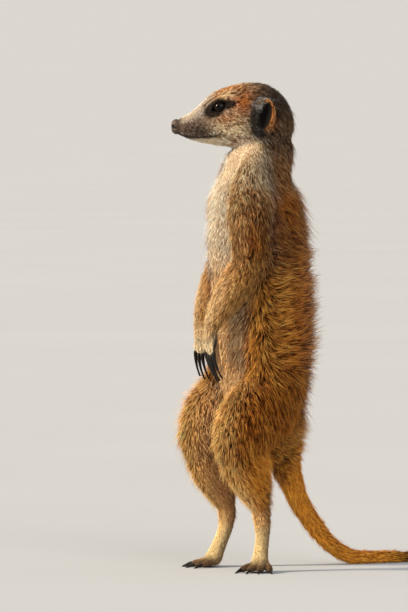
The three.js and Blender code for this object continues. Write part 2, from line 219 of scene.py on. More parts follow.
# %% Head sections
HEAD_PROFILE = np.array([    # forward, top, bottom, half the width, height of the widest place
    [-22.2, 297.0, 260.0, 22.6, 276.0],
    [-13.0, 299.0, 258.6, 23.6, 277.5],
    [-2.0, 301.6, 258.0, 23.8, 278.5],
    [8.0, 301.8, 259.4, 22.8, 278.0],
    [16.0, 300.2, 260.9, 20.2, 277.5],
    [23.5, 297.6, 262.0, 16.9, 277.0],
    [30.0, 294.2, 263.2, 12.8, 275.5],
    [36.0, 288.3, 264.3, 9.6, 273.5],
    [42.0, 283.2, 266.0, 7.5, 272.8],
    [47.5, 280.2, 268.0, 6.1, 272.9],
    [52.2, 277.8, 269.4, 4.9, 273.2],
])
HEAD_CAP = (0.2, 0.06)
HEAD_SQUARENESS = 2.25     # 2 would be an ellipse


def head_depth(forward):
    """The coat's depth on the head: deepest on the crown and thinnest on the muzzle."""
    return 0.35 + 1.25 * ramp(-forward, -42, -8)


def head_rings(v, around=72):
    """(+-half |cos a|^k, -forward, widest + rise |sin a|^k), with k = 2 / squareness."""
    t = eased(v)
    forward, top, bottom, half, widest = smooth_through(HEAD_PROFILE, t).T
    deep = head_depth(forward)
    ring = cap_scale(t, HEAD_CAP)[:, None]
    a = 2 * np.pi * np.arange(around) / around
    power = 2 / HEAD_SQUARENESS
    c = np.sign(np.cos(a)) * np.abs(np.cos(a)) ** power
    s = np.sign(np.sin(a)) * np.abs(np.sin(a)) ** power
    rise = np.where(np.sin(a) > 0, (top - widest - deep)[:, None], (widest - bottom - deep)[:, None])
    x = ring * (half - deep)[:, None] * c
    y = np.broadcast_to((-forward + deep * (2 * v - 1))[:, None], x.shape)
    return np.stack([x, y, widest[:, None] + ring * rise * s], -1)


head_points, head_faces = closed_grid(head_rings(np.linspace(0, 1, 90)))
head_points = turned(head_points, HEAD_TURN)
print("head form:", len(head_points), "points")

# %% [markdown]
# ## Ears
# A meerkat's ear is a low oval flap at the side of the head. Its rear edge stands off and its hollow faces
# forward. The flap is an ellipsoid, and the points that fall within the hollow's own ellipsoid move to
# its far wall.

# %% Ear shells
EAR_CENTRE = np.array([22.2, 3.4, 280.8])
EAR_SIZE = np.array([4.2, 8.4, 12.2])
HOLLOW_CENTRE = np.array([25.8, 3.8, 281.8])
HOLLOW_SIZE = np.array([3.6, 4.1, 8.8])
EAR_FLARE, EAR_LEAN = 24.0, 10.0     # degrees
EAR_MARGIN = 1.5


def ear_axes(sign):
    """Rows are the ear's thickness, width and height directions in the head's frame."""
    flare, lean = math.radians(-sign * EAR_FLARE), math.radians(-EAR_LEAN)
    about_x = np.array([[1, 0, 0], [0, math.cos(lean), -math.sin(lean)], [0, math.sin(lean), math.cos(lean)]])
    about_z = np.array([[math.cos(flare), -math.sin(flare), 0], [math.sin(flare), math.cos(flare), 0], [0, 0, 1]])
    return (about_x @ about_z).T


def mirrored(point, sign):
    """The same place on the left side (sign 1) or the right side (sign -1)."""
    return np.array([sign * point[0], point[1], point[2]])


def in_ear(h, sign):
    """Points of the head's frame as thickness, width and height from the ear's middle."""
    return (h - mirrored(EAR_CENTRE, sign)) @ ear_axes(sign).T


def out_of_ear(local, sign):
    """The way back from in_ear."""
    return local @ ear_axes(sign) + mirrored(EAR_CENTRE, sign)


def ear_gap(local):
    """The distance from the ear's middle, 1 on an ellipsoid a margin outside the ear."""
    return np.linalg.norm(local / (EAR_SIZE + EAR_MARGIN), axis=1)


def hollowed(local, sign):
    """Moves points inside the hollow's ellipsoid to its far wall: x = c - a sqrt(1 - y y / b b - z z / h h)."""
    hollow = (mirrored(HOLLOW_CENTRE, sign) - mirrored(EAR_CENTRE, sign)) @ ear_axes(sign).T
    y, z = (local[..., 1] - hollow[1]) / HOLLOW_SIZE[1], (local[..., 2] - hollow[2]) / HOLLOW_SIZE[2]
    inside = 1 - y * y - z * z
    wall = sign * hollow[0] - HOLLOW_SIZE[0] * np.sqrt(np.clip(inside, 0, 1))
    deeper = (inside > 0) & (sign * local[..., 0] > wall)
    local[..., 0] = np.where(deeper, sign * wall, local[..., 0])
    return local, inside


def ear_shell(sign, thin=0.7):
    """The ellipsoid c + R (a sin p cos q, b sin p sin q, h cos p), hollowed towards the skull."""
    p, q = np.linspace(0, np.pi, 34)[:, None], np.linspace(0, 2 * np.pi, 49)[:-1]
    local = np.stack([np.sin(p) * np.cos(q), np.sin(p) * np.sin(q), np.cos(p) + 0 * q], -1) * (EAR_SIZE - thin)
    points, faces = closed_grid(hollowed(local, sign)[0])
    return turned(out_of_ear(points, sign), HEAD_TURN), faces


ears = {sign: ear_shell(sign) for sign in (1, -1)}
print("ear shells:", [len(points) for points, _ in ears.values()])

# %% [markdown]
# ## Trunk, arms, legs and tail
# The same stations as the solids', each followed by how deep the coat is there. The long coat of the back
# is drawn in most, the belly less, and the hands and feet hardly at all. Toes and fingers are short forms
# that arch from their knuckle to their tip.

# %% Stations of the body
forms = {}
TRUNK = [(0, 8.5, 60, 13, 11, 9), (0, 8.5, 74, 19, 15, 13.6), (0, 5.5, 93, 28, 21, 19), (0, 2.5, 115, 32.5, 26),
         (0, 1, 140, 34, 29.3), (0, 1, 166, 33, 29.9), (0, -1, 191, 31, 29.2), (0, -2.4, 216, 30, 28),
         (0, -3, 233, 26.5, 25.4), (0, -1.5, 247, 21.2, 20.6, 21.6), (0, 1.2, 260, 20.6, 18.8, 21.6),
         (0, 2.4, 276, 20, 17, 20.6)]
TRUNK_DEPTH = [(8, 7, 6), (5, 4.4, 4), *[(3, 2.4, 3.4)] * 2, *[(3.4, 2.4, 4)] * 3, *[(2.8, 2.2, 3.2)] * 2,
               *[(2, 1.9, 2.6)] * 3]
forms["trunk"] = Form(TRUNK, cap=(0.1, 0.05), twist=TRUNK_TWIST, depth=TRUNK_DEPTH, around=80, along=90, samples=44)


def upper_arm(sign, swing):
    """The upper arm's stations in the chest's frame, the right one a little further back."""
    rows = [(22, -11, 243, 7.5, 8.5), (26.5, -14, 228, 10.5, 12.5), (28.2, -14.5, 210, 10, 11.8),
            (27.5, -13.5, 193, 9, 9.6), (27, -12.5, 185, 7, 7)]
    return [(sign * x, y + swing, z, *reach) for x, y, z, *reach in rows]


ARMS = {
    "left": dict(sign=1, swing=0, wrist=(9.8, -39.8, 150), knuckle=(9.2, -39.2, 140), forearm=[
        (24.5, -19, 193, 9, 9.6), (22.4, -24, 184, 10.2, 10.8), (19, -28.9, 174.5, 9.6, 10.8),
        (13.8, -36.1, 160, 7.4, 8), (11, -39.2, 152, 5.7, 5.6), (9.8, -39.8, 147, 5, 4.7)]),
    "right": dict(sign=-1, swing=4, wrist=(-10.4, -34.6, 150), knuckle=(-9.8, -35, 140), forearm=[
        (-29.5, -5, 193, 8.6, 9.2), (-30.4, -9, 184, 9.4, 10), (-28.6, -14.6, 175.5, 9, 9.8),
        (-22.6, -23.4, 162.6, 7.4, 8), (-14, -32, 152, 5.7, 5.6), (-10.6, -34.4, 147, 5, 4.7)]),
}
FOREARM_DEPTH = (3.2, 2.4, 1.8, 1.5, 1.5, 1.4)
LEGS = {
    "left": dict(sign=1, knee=(21, -25.3, 83), calf=(21, -19.1, 60), hock=(21, -10.9, 39), instep=(21.4, -9, 25),
                 ball=(26, -14, 4.6), toes_out=46),
    "right": dict(sign=-1, knee=(-20.5, -25, 85), calf=(-21, -18.5, 59), hock=(-21, -10.3, 38.5),
                  instep=(-21, -9.6, 27), ball=(-23.4, -18.4, 4.6), toes_out=12),
}
TAIL = [(0, 6, 84, 10), (0, 17, 72, 9, 9.4), (0, 22.5, 56, 7.8), (0, 30, 40, 6.9), (0, 40.5, 25.5, 6.2),
        (0.5, 52.5, 12.6, 5.6), (1.5, 68, 4.8, 5.1), (3.5, 88, 3.9, 4.6, 4.4), (7, 108, 3.3, 4.1, 3.8),
        (11.5, 128, 2.8, 3.7, 3.3), (15.5, 147, 2.4, 3.3, 2.9), (18, 166, 2.2, 2.8, 2.7)]

# %% Digits and claws
CLAWS = {}
SPREADS = (-1.5, -0.5, 0.5, 1.5)    # the four digits of a paw, side by side
FINGER = dict(radius=2.0, claw_length=15, claw_radius=1.15)
TOE = dict(radius=2.7, claw_length=6, claw_radius=1.1)
DOWN = np.array([0, 0, -1.0])


def digit(name, knuckle, tip, radius, claw_length, claw_radius, down):
    """A toe or finger k + s (t - k), raised 0.12 of its length at s = 0.3, and the horn of its claw:
    tip + ahead L (1.12 s - 0.12) + down L (0.34 s s - 0.03), whose thickness shrinks as 1 - 0.82 s."""
    along = tip - knuckle
    length = np.linalg.norm(along)
    side, ahead = unit(np.cross(along, down)), along / length
    rows = [(-0.2, 0, radius), (0.3, -0.12 * length, radius), (0.75, -0.04 * length, radius * 0.95),
            (1.1, 0, radius * 0.8)]
    stations = [(*(knuckle + along * s + down * drop), r) for s, drop, r in rows]
    forms[name] = Form(stations, side=side, cap=(0.2, 0.24), depth=0.35, around=18, along=20, samples=8)
    horn = []
    for s in (0, 0.3, 0.6, 0.85, 1):
        at = tip + ahead * claw_length * (1.12 * s - 0.12) + down * claw_length * (0.34 * s * s - 0.03)
        thick = claw_radius * (1 - 0.82 * s)
        horn.append((*at, thick, thick * 1.35))
    CLAWS[name] = Form(horn, side=side, cap=(0.1, 0.05), around=14, along=22)


for name, arm in ARMS.items():
    sign = arm["sign"]
    forms["upper_arm_" + name] = Form(upper_arm(sign, arm["swing"]), cap=(0.3, 0.25), turn=CHEST_TURN, depth=2.1)
    forms["forearm_" + name] = Form(arm["forearm"], cap=(0.22, 0.1), depth=[(d, d, d) for d in FOREARM_DEPTH])
    wrist, knuckle = np.array(arm["wrist"], float), np.array(arm["knuckle"], float)
    palm = [(wrist, 4.6, 4), ((wrist + knuckle) / 2, 5.4, 3.8), (knuckle, 6, 3.4),
            (wrist + 1.22 * (knuckle - wrist), 5.2, 2.8)]
    forms["hand_" + name] = Form([(*p, a, b) for p, a, b in palm], cap=(0.2, 0.3), depth=0.5, around=28, along=28,
                                 samples=12)
    hang = unit(knuckle - wrist)
    palmward = unit(np.array([0.15 * sign, 1.0, 0.0]))
    across = unit(np.cross(palmward, hang))
    for i, spread in enumerate(SPREADS):
        root = knuckle + across * spread * 2.9 - hang * abs(spread) * 0.8
        tip = root + hang * (8.2 - 1.1 * abs(spread)) + across * spread * 0.5
        digit(f"hand_{name}_{i + 1}", root, tip, down=palmward, **FINGER)

# %% Legs, feet and tail
KNUCKLE_HEIGHT, TIP_HEIGHT = 1.9, 1.5
for name, leg in LEGS.items():
    sign = leg["sign"]
    knee, calf, hock, instep, ball = (np.array(leg[k], float) for k in ("knee", "calf", "hock", "instep", "ball"))
    forms["thigh_" + name] = Form([
        (sign * 14, 7, 124, 12, 17, 13), (sign * 17.5, 2.5, 111, 15, 23, 17), (sign * 20, -8, 100.5, 16, 24, 20),
        (*(knee + (0, 7, 8.5)), 15.2, 21, 19), (*(knee + (0, -0.5, -1)), 13.6, 16.6, 16),
        (*(knee + (0, -0.5, -13)), 11.5, 14, 13)], cap=(0.25, 0.2), depth=2.6, around=56, along=56)
    forms["shank_" + name] = Form([
        (*(knee * 0.8 + calf * 0.2), 12, 14), (*(knee * 0.4 + calf * 0.6), 12.8, 16, 15.2), (*calf, 11.4, 15, 14.6),
        (*(calf * 0.45 + hock * 0.55), 9, 11.4), (*hock, 6.6, 7.6), (*((hock + instep) / 2), 5.8, 5.8)],
        cap=(0.2, 0.1), depth=2.0)
    forms["foot_" + name] = Form([
        (*(hock + (0, 0, 3)), 5.8, 6.4), (*(hock * 0.4 + instep * 0.6), 5.6, 5.5),
        (*(instep * 0.85 + ball * 0.15), 5.3, 5.1), (*(instep * 0.4 + ball * 0.6), 5.4, 5.1), (*ball, 6.6, 5.6),
        (*(ball - (0, 0, 5)), 6.2, 5.2)], cap=(0.1, 0.12), depth=0.8)
    toes = math.radians(leg["toes_out"]) * sign
    ahead = np.array([math.sin(toes), -math.cos(toes), 0.0])
    across = sign * unit(np.cross(ahead, DOWN))
    for i, spread in enumerate(SPREADS):
        root = ball + across * spread * 3.3
        root[2] = KNUCKLE_HEIGHT
        tip = root + ahead * (15 - 2.6 * abs(spread)) + across * spread * 3
        tip[2] = TIP_HEIGHT
        digit(f"foot_{name}_{i + 1}", root, tip, down=DOWN, **TOE)
forms["tail"] = Form(TAIL, cap=(0.06, 0.03), depth=1.3, around=32, along=160, samples=70)
print(len(forms), "forms and", len(CLAWS), "claws")

# %% [markdown]
# ## Muscles over the joints
# Where one form ends under the next, the animal has muscle and loose skin, not a notch. A few longer forms
# inside the coat carry the shoulder into the arm, the arm round the elbow, the flank into the thigh and the
# thigh into the shank.

# %% Bridging forms
bridges = []
for arm in ARMS.values():
    sign, swing = arm["sign"], arm["swing"]
    top = [(*turned(row[:3], CHEST_TURN), *row[3:]) for row in upper_arm(sign, swing)]
    bridges.append(Form([*top[:3], (*top[3][:3], 9.4, 10.4), *arm["forearm"][1:5]], cap=(0.12, 0.08), depth=1.8,
                        along=90))
    slope = [(sign * 9, -3, 262, 9, 12), (sign * 15, -6, 250, 9, 13), (sign * 21, -11 + swing, 238, 9, 13),
             (sign * 25.5, -13 + swing, 224, 9.5, 13), (sign * 27, -13 + swing, 208, 8, 11)]
    bridges.append(Form([(*turned(row[:3], CHEST_TURN), *row[3:]) for row in slope], cap=(0.2, 0.2), depth=1.8))
for leg in LEGS.values():
    sign = leg["sign"]
    knee, calf, hock, instep = (np.array(leg[k], float) for k in ("knee", "calf", "hock", "instep"))
    bridges.append(Form([
        (sign * 14, 4, 146, 15, 20, 18), (sign * 17, 2, 126, 16, 22.5, 18), (sign * 18.5, -2, 112, 16.5, 23, 18),
        (sign * 20, -8, 100.5, 16, 24, 20), (*(knee + (0, 7, 8.5)), 15.4, 21, 19),
        (*(knee + (0, 0.5, -2)), 14, 17.4, 16), (*(knee * 0.6 + calf * 0.4), 13.2, 16.2, 15.4),
        (*calf, 11.6, 15, 14.6), (*(calf * 0.45 + hock * 0.55), 9, 11.4), (*hock, 6.6, 7.6),
        (*((hock + instep) / 2), 5.8, 5.8)], cap=(0.1, 0.05), depth=2.3, around=56, along=110))
bridges.append(Form([(0, 1, 104, 20, 20, 21), (0, 9, 88, 14, 16, 17), (0, 17, 73, 10.4, 12, 12), (0, 22.5, 57, 8.4, 9),
                     (0, 30, 40, 7, 7)], cap=(0.2, 0.1), depth=1.6))
print(len(bridges), "bridging forms")

# %% [markdown]
# ## One skin
# All forms are closed and overlap, so a voxel remesh welds them into one skin without a seam. Then the skin
# is relaxed: each point moves towards the mean of its neighbours, most on the body, where muscles run into
# each other, and least on the face, the hands and the toes. The voxels are coarse next to an eyelid, so the
# faces of the head are divided once, and those round the eyes and the mouth a second time.

# %% Welding the forms
VOXEL = 1.25
LOWEST = 0.15       # the skin stays this far above the floor


def put_points(mesh, points):
    """Moves a mesh's points to places given in millimetres, in the animal's frame."""
    mesh.vertices.foreach_set("co", placed(points).astype(np.float32).ravel())


def mesh_from(name, points, faces):
    """A mesh whose points are millimetres in the animal's frame, filled from arrays."""
    mesh = bpy.data.meshes.new(name)
    mesh.vertices.add(len(points))
    put_points(mesh, points)
    mesh.loops.add(faces.size)
    mesh.loops.foreach_set("vertex_index", faces.astype(np.int32).ravel())
    mesh.polygons.add(len(faces))
    mesh.polygons.foreach_set("loop_start", np.arange(0, faces.size, faces.shape[1], dtype=np.int32))
    mesh.update(calc_edges=True)
    mesh.polygons.foreach_set("use_smooth", np.ones(len(faces), bool))
    return mesh


def piece_from(name, mesh):
    """An object for a mesh, at the origin."""
    piece = bpy.data.objects.new(name, mesh)
    bpy.context.scene.collection.objects.link(piece)
    return piece


def joined(shapes):
    """One array of points and one of faces from several closed shapes."""
    starts = np.cumsum([0] + [len(points) for points, _ in shapes])
    return (np.vstack([points for points, _ in shapes]),
            np.vstack([faces + start for (_, faces), start in zip(shapes, starts)]))


raw = joined([(head_points, head_faces), *ears.values()] + [(f.points, f.faces) for f in (*forms.values(), *bridges)])
skin = piece_from("skin", mesh_from("skin", *raw))
weld = skin.modifiers.new("weld", "REMESH")
weld.mode, weld.voxel_size = "VOXEL", VOXEL * MM
welded = bpy.data.meshes.new_from_object(skin.evaluated_get(bpy.context.evaluated_depsgraph_get()))
skin.modifiers.clear()
print("welded skin:", len(welded.vertices), "points")


# %% Reading and dividing the skin
def points_of(mesh):
    """The points of a mesh in millimetres, in the animal's frame."""
    co = np.empty(len(mesh.vertices) * 3, np.float32)
    mesh.vertices.foreach_get("co", co)
    return co.reshape(-1, 3).astype(float) / MM - SHIFT


def edges_of(mesh):
    """The two points of each edge."""
    pairs = np.empty(len(mesh.edges) * 2, np.int32)
    mesh.edges.foreach_get("vertices", pairs)
    return pairs.reshape(-1, 2)


def divided(mesh, wanted):
    """Divides every edge whose two points are wanted, once."""
    mesh.edges.foreach_set("select", wanted[edges_of(mesh)].all(1))
    work = bmesh.new()
    work.from_mesh(mesh)
    chosen = [edge for edge in work.edges if edge.select]
    bmesh.ops.subdivide_edges(work, edges=chosen, cuts=1, use_grid_fill=True)
    work.to_mesh(mesh)
    work.free()


def relaxed(points, pairs, rounds, amount):
    """p + amount (mean of the neighbours - p), repeated; amount may differ from point to point."""
    count = np.bincount(pairs.ravel(), minlength=len(points))[:, None]
    first, second = pairs.T
    for _ in range(rounds):
        total = np.stack([np.bincount(first, points[second, k], len(points))
                          + np.bincount(second, points[first, k], len(points)) for k in range(points.shape[1])], 1)
        points = points + amount * (total / np.maximum(count, 1) - points)
    return points


def in_head(points):
    """Points in the head's frame: side, -forward, height."""
    return turned(points, -HEAD_TURN)


def face_zone(points):
    """True on the head in front of the nape."""
    h = in_head(points)
    return (h[:, 2] > 257) & (h[:, 1] < 16)


body_points = points_of(welded)
smoothing = 0.6 * np.where(face_zone(body_points), 0.35, 1.0)    # less on the face, the toes and the hands
smoothing *= 1 - 0.7 * ramp(-body_points[:, 2], -9, -4)
smoothing *= 1 - 0.75 * bell(body_points, (0, -37, 143), (22, 12, 12))
body_points = relaxed(body_points, edges_of(welded), 14, smoothing[:, None])
put_points(welded, body_points)
divided(welded, face_zone(body_points))
fine = points_of(welded)
print("skin with a finer head:", len(fine), "points")

# %% [markdown]
# ## The face
# An eyeball sits deep in the head, and only an almond-shaped opening shows it. The skin is shaped round it in
# the eye's own directions: out along the gaze, back along the slanting slit, and up. Inside the almond
# the skin dives behind the ball; round its border the lids lie on the ball. The mouth is a fine groove that
# runs back from under the nose, and the ears' hollows are cut again now that the skin is fine enough.

# %% Eye frame and lids
EYE_CENTRE = np.array([10.9, -23.0, 286.4])
EYE_RADIUS = 4.7
GAZE = unit(np.array([0.93, -0.34, 0.08]))
SLIT_SLANT = 22.0          # degrees that the slit rises towards the ear
OPENING = (5.4, 4.3, 2.4)  # to the front corner, to the rear corner, half the height
LID_OVER, LID_UNDER = 0.55, 0.9    # how far the lids lie over the ball, and how far they dive under its surface
EYE_ZONE = 12.0


def eye_axes(sign):
    """Rows: out along the gaze, back along the slit, and up across it."""
    slant = math.radians(SLIT_SLANT)
    out = mirrored(GAZE, sign)
    back = np.array([0, math.cos(slant), math.sin(slant)])
    back = unit(back - (back @ out) * out)
    return np.stack([out, back, sign * np.cross(out, back)])


def in_eye(h, sign):
    """Points of the head's frame as out, back and up from the eye's middle."""
    return (h - mirrored(EYE_CENTRE, sign)) @ eye_axes(sign).T


def almond(back, up):
    """1 on the opening's border, less inside: the root of b b + u u (1 + b b), each by its half size."""
    b = back / np.where(back < 0, OPENING[0], OPENING[1])
    u = up / OPENING[2]
    return np.sqrt(b * b + u * u * (1 + 1.1 * b * b))


def lidded(h, sign):
    """Skin in the head's frame with one eye's opening: out = max(skin, lid) outside the almond."""
    local = in_eye(h, sign)
    out, back, up = local.T
    around = back * back + up * up
    border = almond(back, up)
    close = (out > -1.0) & (around < EYE_ZONE**2)
    lid = np.sqrt(np.clip((EYE_RADIUS + LID_OVER) ** 2 - around, 0, None))
    shaped = np.maximum(out, lid * (1 - ramp(border, 1.5, 2.3)))
    rim = 0.35 * np.exp(-(((border - 1.12) / 0.16) ** 2))
    behind = np.sqrt(np.clip((EYE_RADIUS - LID_UNDER) ** 2 - around, 0, None))
    shaped = behind + (shaped + rim - behind) * ramp(border, 0.9, 1.04)
    local[:, 0] = np.where(close, shaped, out)
    return np.where(close[:, None], local @ eye_axes(sign) + mirrored(EYE_CENTRE, sign), h)


# %% Mouth line
MOUTH = [(53.5, 270.6), (50, 269.4), (44, 268.1), (36, 267.8), (27, 268.7), (23.6, 270.2)]   # forward, height
MOUTH_DEPTH, MOUTH_HALF = 0.8, 0.7
EYE_DETAIL, MOUTH_DETAIL = 9.0, 2.2    # millimetres from the eye's middle and the mouth line that are divided twice
mouth_path = smooth_through(np.array([(f, z, 0) for f, z in MOUTH]), np.linspace(0, 1, 90))[:, :2]


def from_mouth(h):
    """Distance in profile from the mouth line, for points in front of the cheeks."""
    gap = np.full(len(h), 99.0)
    close = (h[:, 1] < -20) & (h[:, 2] < 277)
    profile = np.stack([-h[close, 1], h[close, 2]], 1)
    gap[close] = np.linalg.norm(profile[:, None] - mouth_path, axis=2).min(1)
    return gap


def faced(points):
    """The skin with lids, a mouth groove and hollow ears."""
    h = in_head(points)
    for sign in (1, -1):
        h = lidded(h, sign)
        local = in_ear(h, sign)
        near = ear_gap(local) < 1
        h[near] = out_of_ear(hollowed(local[near], sign)[0], sign)
    groove = MOUTH_DEPTH * np.exp(-((from_mouth(h) / MOUTH_HALF) ** 2))
    h[:, 0] -= np.sign(h[:, 0]) * np.minimum(groove, np.abs(h[:, 0]))
    return turned(h, HEAD_TURN)


def near_detail(points):
    """True round the eyes and along the mouth."""
    h = in_head(points)
    eye = np.minimum(*(np.linalg.norm(h - mirrored(EYE_CENTRE, sign), axis=1) for sign in (1, -1)))
    return (eye < EYE_DETAIL) | (from_mouth(h) < MOUTH_DETAIL)


divided(welded, near_detail(fine))
skin_points = faced(relaxed(points_of(welded), edges_of(welded), 2, 0.3))
skin_points[:, 2] = np.maximum(skin_points[:, 2], LOWEST)
put_points(welded, skin_points)
welded.polygons.foreach_set("use_smooth", np.ones(len(welded.polygons), bool))
welded.update()
skin.data = welded
welded.calc_loop_triangles()
triangles = np.empty(len(welded.loop_triangles) * 3, np.int32)
welded.loop_triangles.foreach_get("vertices", triangles)
triangles = triangles.reshape(-1, 3)
print("skin:", len(skin_points), "points,", len(triangles), "triangles")

# %% [markdown]
# ## Which part is where
# The hair and its colour differ from part to part, but they never change at a line. So each point of the skin
# gets a share of every form near it: the share falls off with how much further away that form's surface is
# than the nearest one's. Any value of the parts is then a weighted mean. The values stand in one table: lengths
# and widths are millimetres, lifts are degrees from the skin, density is locks for each square millimetre,
# grizzle is how pale the tips are, and speckle is how much neighbouring locks differ.

# %% A row for each kind of part: length, lift, width, density, grizzle, speckle, colour


def tint(code):
    """A screen colour such as c79a5b as linear red, green and blue."""
    value = np.array([int(code[i:i + 2], 16) for i in (0, 2, 4)]) / 255
    return np.where(value <= 0.04045, value / 12.92, ((value + 0.055) / 1.055) ** 2.4)


COAT = {
    "head": (2.7, 19, 0.26, 6.2, 0.42, 0.72, "ab9072"),
    "trunk": (8.6, 22, 0.36, 3.5, 0.90, 0.78, "9c4a04"),
    "upper_arm": (6.0, 25, 0.34, 4.4, 0.75, 0.80, "984602"),
    "forearm": (4.4, 20, 0.30, 4.8, 0.60, 0.62, "d6a05a"),
    "hand": (2.0, 18, 0.25, 6.5, 0.40, 0.08, "fdf0d0"),
    "finger": (1.3, 14, 0.22, 6.5, 0.30, 0.10, "f3e0ba"),
    "thigh": (7.4, 25, 0.36, 3.4, 0.75, 0.80, "8c4002"),
    "shank": (5.4, 20, 0.33, 4.1, 0.60, 0.66, "fe9e2a"),
    "foot": (2.2, 16, 0.26, 5.8, 0.40, 0.30, "ecd4a0"),
    "toe": (1.4, 14, 0.23, 6.0, 0.25, 0.24, "6c5440"),
    "tail": (4.6, 14, 0.32, 4.4, 0.70, 0.12, "ffae3a"),
}
SOFT_EDGE = 1.6     # millimetres over which one part passes into the next
HEAD_LENGTH = 74.0


class HeadAxis:
    """The head as a form: its axis runs from the back of the skull to the nose."""

    def __init__(self, samples=24):
        t = (np.arange(samples) + 0.5) / samples
        forward, top, bottom, half, _ = smooth_through(HEAD_PROFILE, t).T
        self.middle = turned(np.stack([0 * t, -forward, (top + bottom) / 2], 1), HEAD_TURN)
        ways = turned([[0, -1, 0], [1, 0, 0], [0, 0, 1]], HEAD_TURN)
        self.tangent, self.across, self.back = (np.broadcast_to(way, (samples, 3)) for way in ways)
        self.reach = (half + (top - bottom) / 2) / 2
        self.length = HEAD_LENGTH


def kind_of(name):
    """The kind of a form, from its name."""
    if name[-1].isdigit():
        return "finger" if name.startswith("hand") else "toe"
    return name.rsplit("_", 1)[0] if name.endswith(("left", "right")) else name


# %% Shares of the forms
forms["head"] = HeadAxis()
form_names = list(forms)
kinds = np.array([kind_of(name) for name in form_names])
gaps, nearest = [], []
for form in forms.values():
    reach_gap = np.linalg.norm(skin_points[:, None] - form.middle, axis=2) - form.reach
    nearest.append(reach_gap.argmin(1))
    gaps.append(reach_gap.min(1))
gaps, nearest = np.array(gaps), np.array(nearest)
weights = np.exp(-(gaps - gaps.min(0)) / SOFT_EDGE)
weights /= weights.sum(0)
owner = gaps.argmin(0)
share = {kind: sum(weights[i] for i in np.flatnonzero(kinds == kind)) for kind in COAT}
first_gap, second_gap = np.sort(gaps[np.isin(kinds, ["finger", "toe"])], axis=0)[:2]
crease = (1 - ramp(second_gap - first_gap, 0.25, 1.3)) * (1 - ramp(first_gap, 0.8, 2.2))
on_head, on_trunk, hands = share["head"], share["trunk"], share["hand"] + share["finger"]
print({kind: int((value > 0.5).sum()) for kind, value in share.items()})


def by_kind(column):
    """The weighted mean of a column of the table; a colour's code becomes red, green and blue first."""
    values = {kind: row[column] for kind, row in COAT.items()}
    return sum(np.multiply.outer(share[kind], tint(value) if isinstance(value, str) else float(value))
               for kind, value in values.items())


# %% [markdown]
# ## Places on the body
# Markings follow the animal, not the room. On the trunk a useful coordinate is the angle round it, 0 at the
# middle of the belly and 180 on the spine; the trunk twists a little with the shoulders, and so does the angle.
# On the head they are the head's own three directions. Nearly every mask is a product of soft steps in one of
# these, so each step has a short name.

# %% Coordinates for markings
TRUNK_FOOT, TRUNK_HEIGHT = 60, 216


def trunk_angle(points):
    """Degrees from the middle of the belly round to the spine, the same on both sides."""
    x, y, z = np.moveaxis(points, -1, 0)
    a = np.radians(TRUNK_TWIST) * np.clip((z - TRUNK_FOOT) / TRUNK_HEIGHT, 0, 1)
    side, front = x * np.cos(a) + y * np.sin(a), y * np.cos(a) - x * np.sin(a)
    return np.degrees(np.arctan2(np.abs(side), -(front - 1)))


head_place = in_head(skin_points)
folded = head_place.copy()
folded[:, 0] = np.abs(folded[:, 0])
height, angle = skin_points[:, 2], trunk_angle(skin_points)
forward, rearward = -head_place[:, 1], head_place[:, 1]
mouth_gap = from_mouth(head_place)
NOSE_CENTRE = np.array([0, -50.7, 274.2])
nose_gap = np.linalg.norm(head_place - NOSE_CENTRE, axis=1)
print("trunk angle from", angle.min().round(), "to", angle.max().round())


def above(low, high):
    """0 below the first height and 1 above the second."""
    return ramp(height, low, high)


def below(low, high):
    """1 below the first height and 0 above the second."""
    return ramp(-height, -high, -low)


def dorsal(low, high):
    """0 on the belly's side of the first angle and 1 on the spine's side of the second."""
    return ramp(angle, low, high)


def ventral(low, high):
    """The opposite of dorsal."""
    return 1 - dorsal(low, high)


def behind(low, high):
    """0 in front of the first place along the body and 1 behind the second."""
    return ramp(skin_points[:, 1], low, high)


def sideways(low, high):
    """0 nearer to the middle than the first distance and 1 further out than the second."""
    return ramp(np.abs(skin_points[:, 0]), low, high)


def fronting(low, high):
    """0 where the skin faces less forward than the first share and 1 where more than the second."""
    return ramp(-normals[:, 1], low, high)


# %% [markdown]
# ## The lie of the coat
# Hair points away from the nose: back over the head, down the neck and trunk, along each limb to its
# claws, and along the tail. On the flank it parts along a line below the elbow: the front part leans forward
# over the belly, and the rear part sweeps back and slightly up over the hip. The directions are averaged
# between neighbours a few times, so that the coat turns smoothly where parts meet.

# %% Surface normals and creases
CREASE_DEPTH = 0.7
edges = edges_of(welded)
corners = skin_points[triangles]
face_normals = np.cross(corners[:, 1] - corners[:, 0], corners[:, 2] - corners[:, 0])
normals = unit(np.stack([sum(np.bincount(triangles[:, c], face_normals[:, k], len(skin_points)) for c in range(3))
                         for k in range(3)], 1))
skin_points = skin_points - CREASE_DEPTH * crease[:, None] * normals
skin_points[:, 2] = np.maximum(skin_points[:, 2], LOWEST)
put_points(welded, skin_points)
welded.update()
outward = np.sign(skin_points[:, 0]) * normals[:, 0]

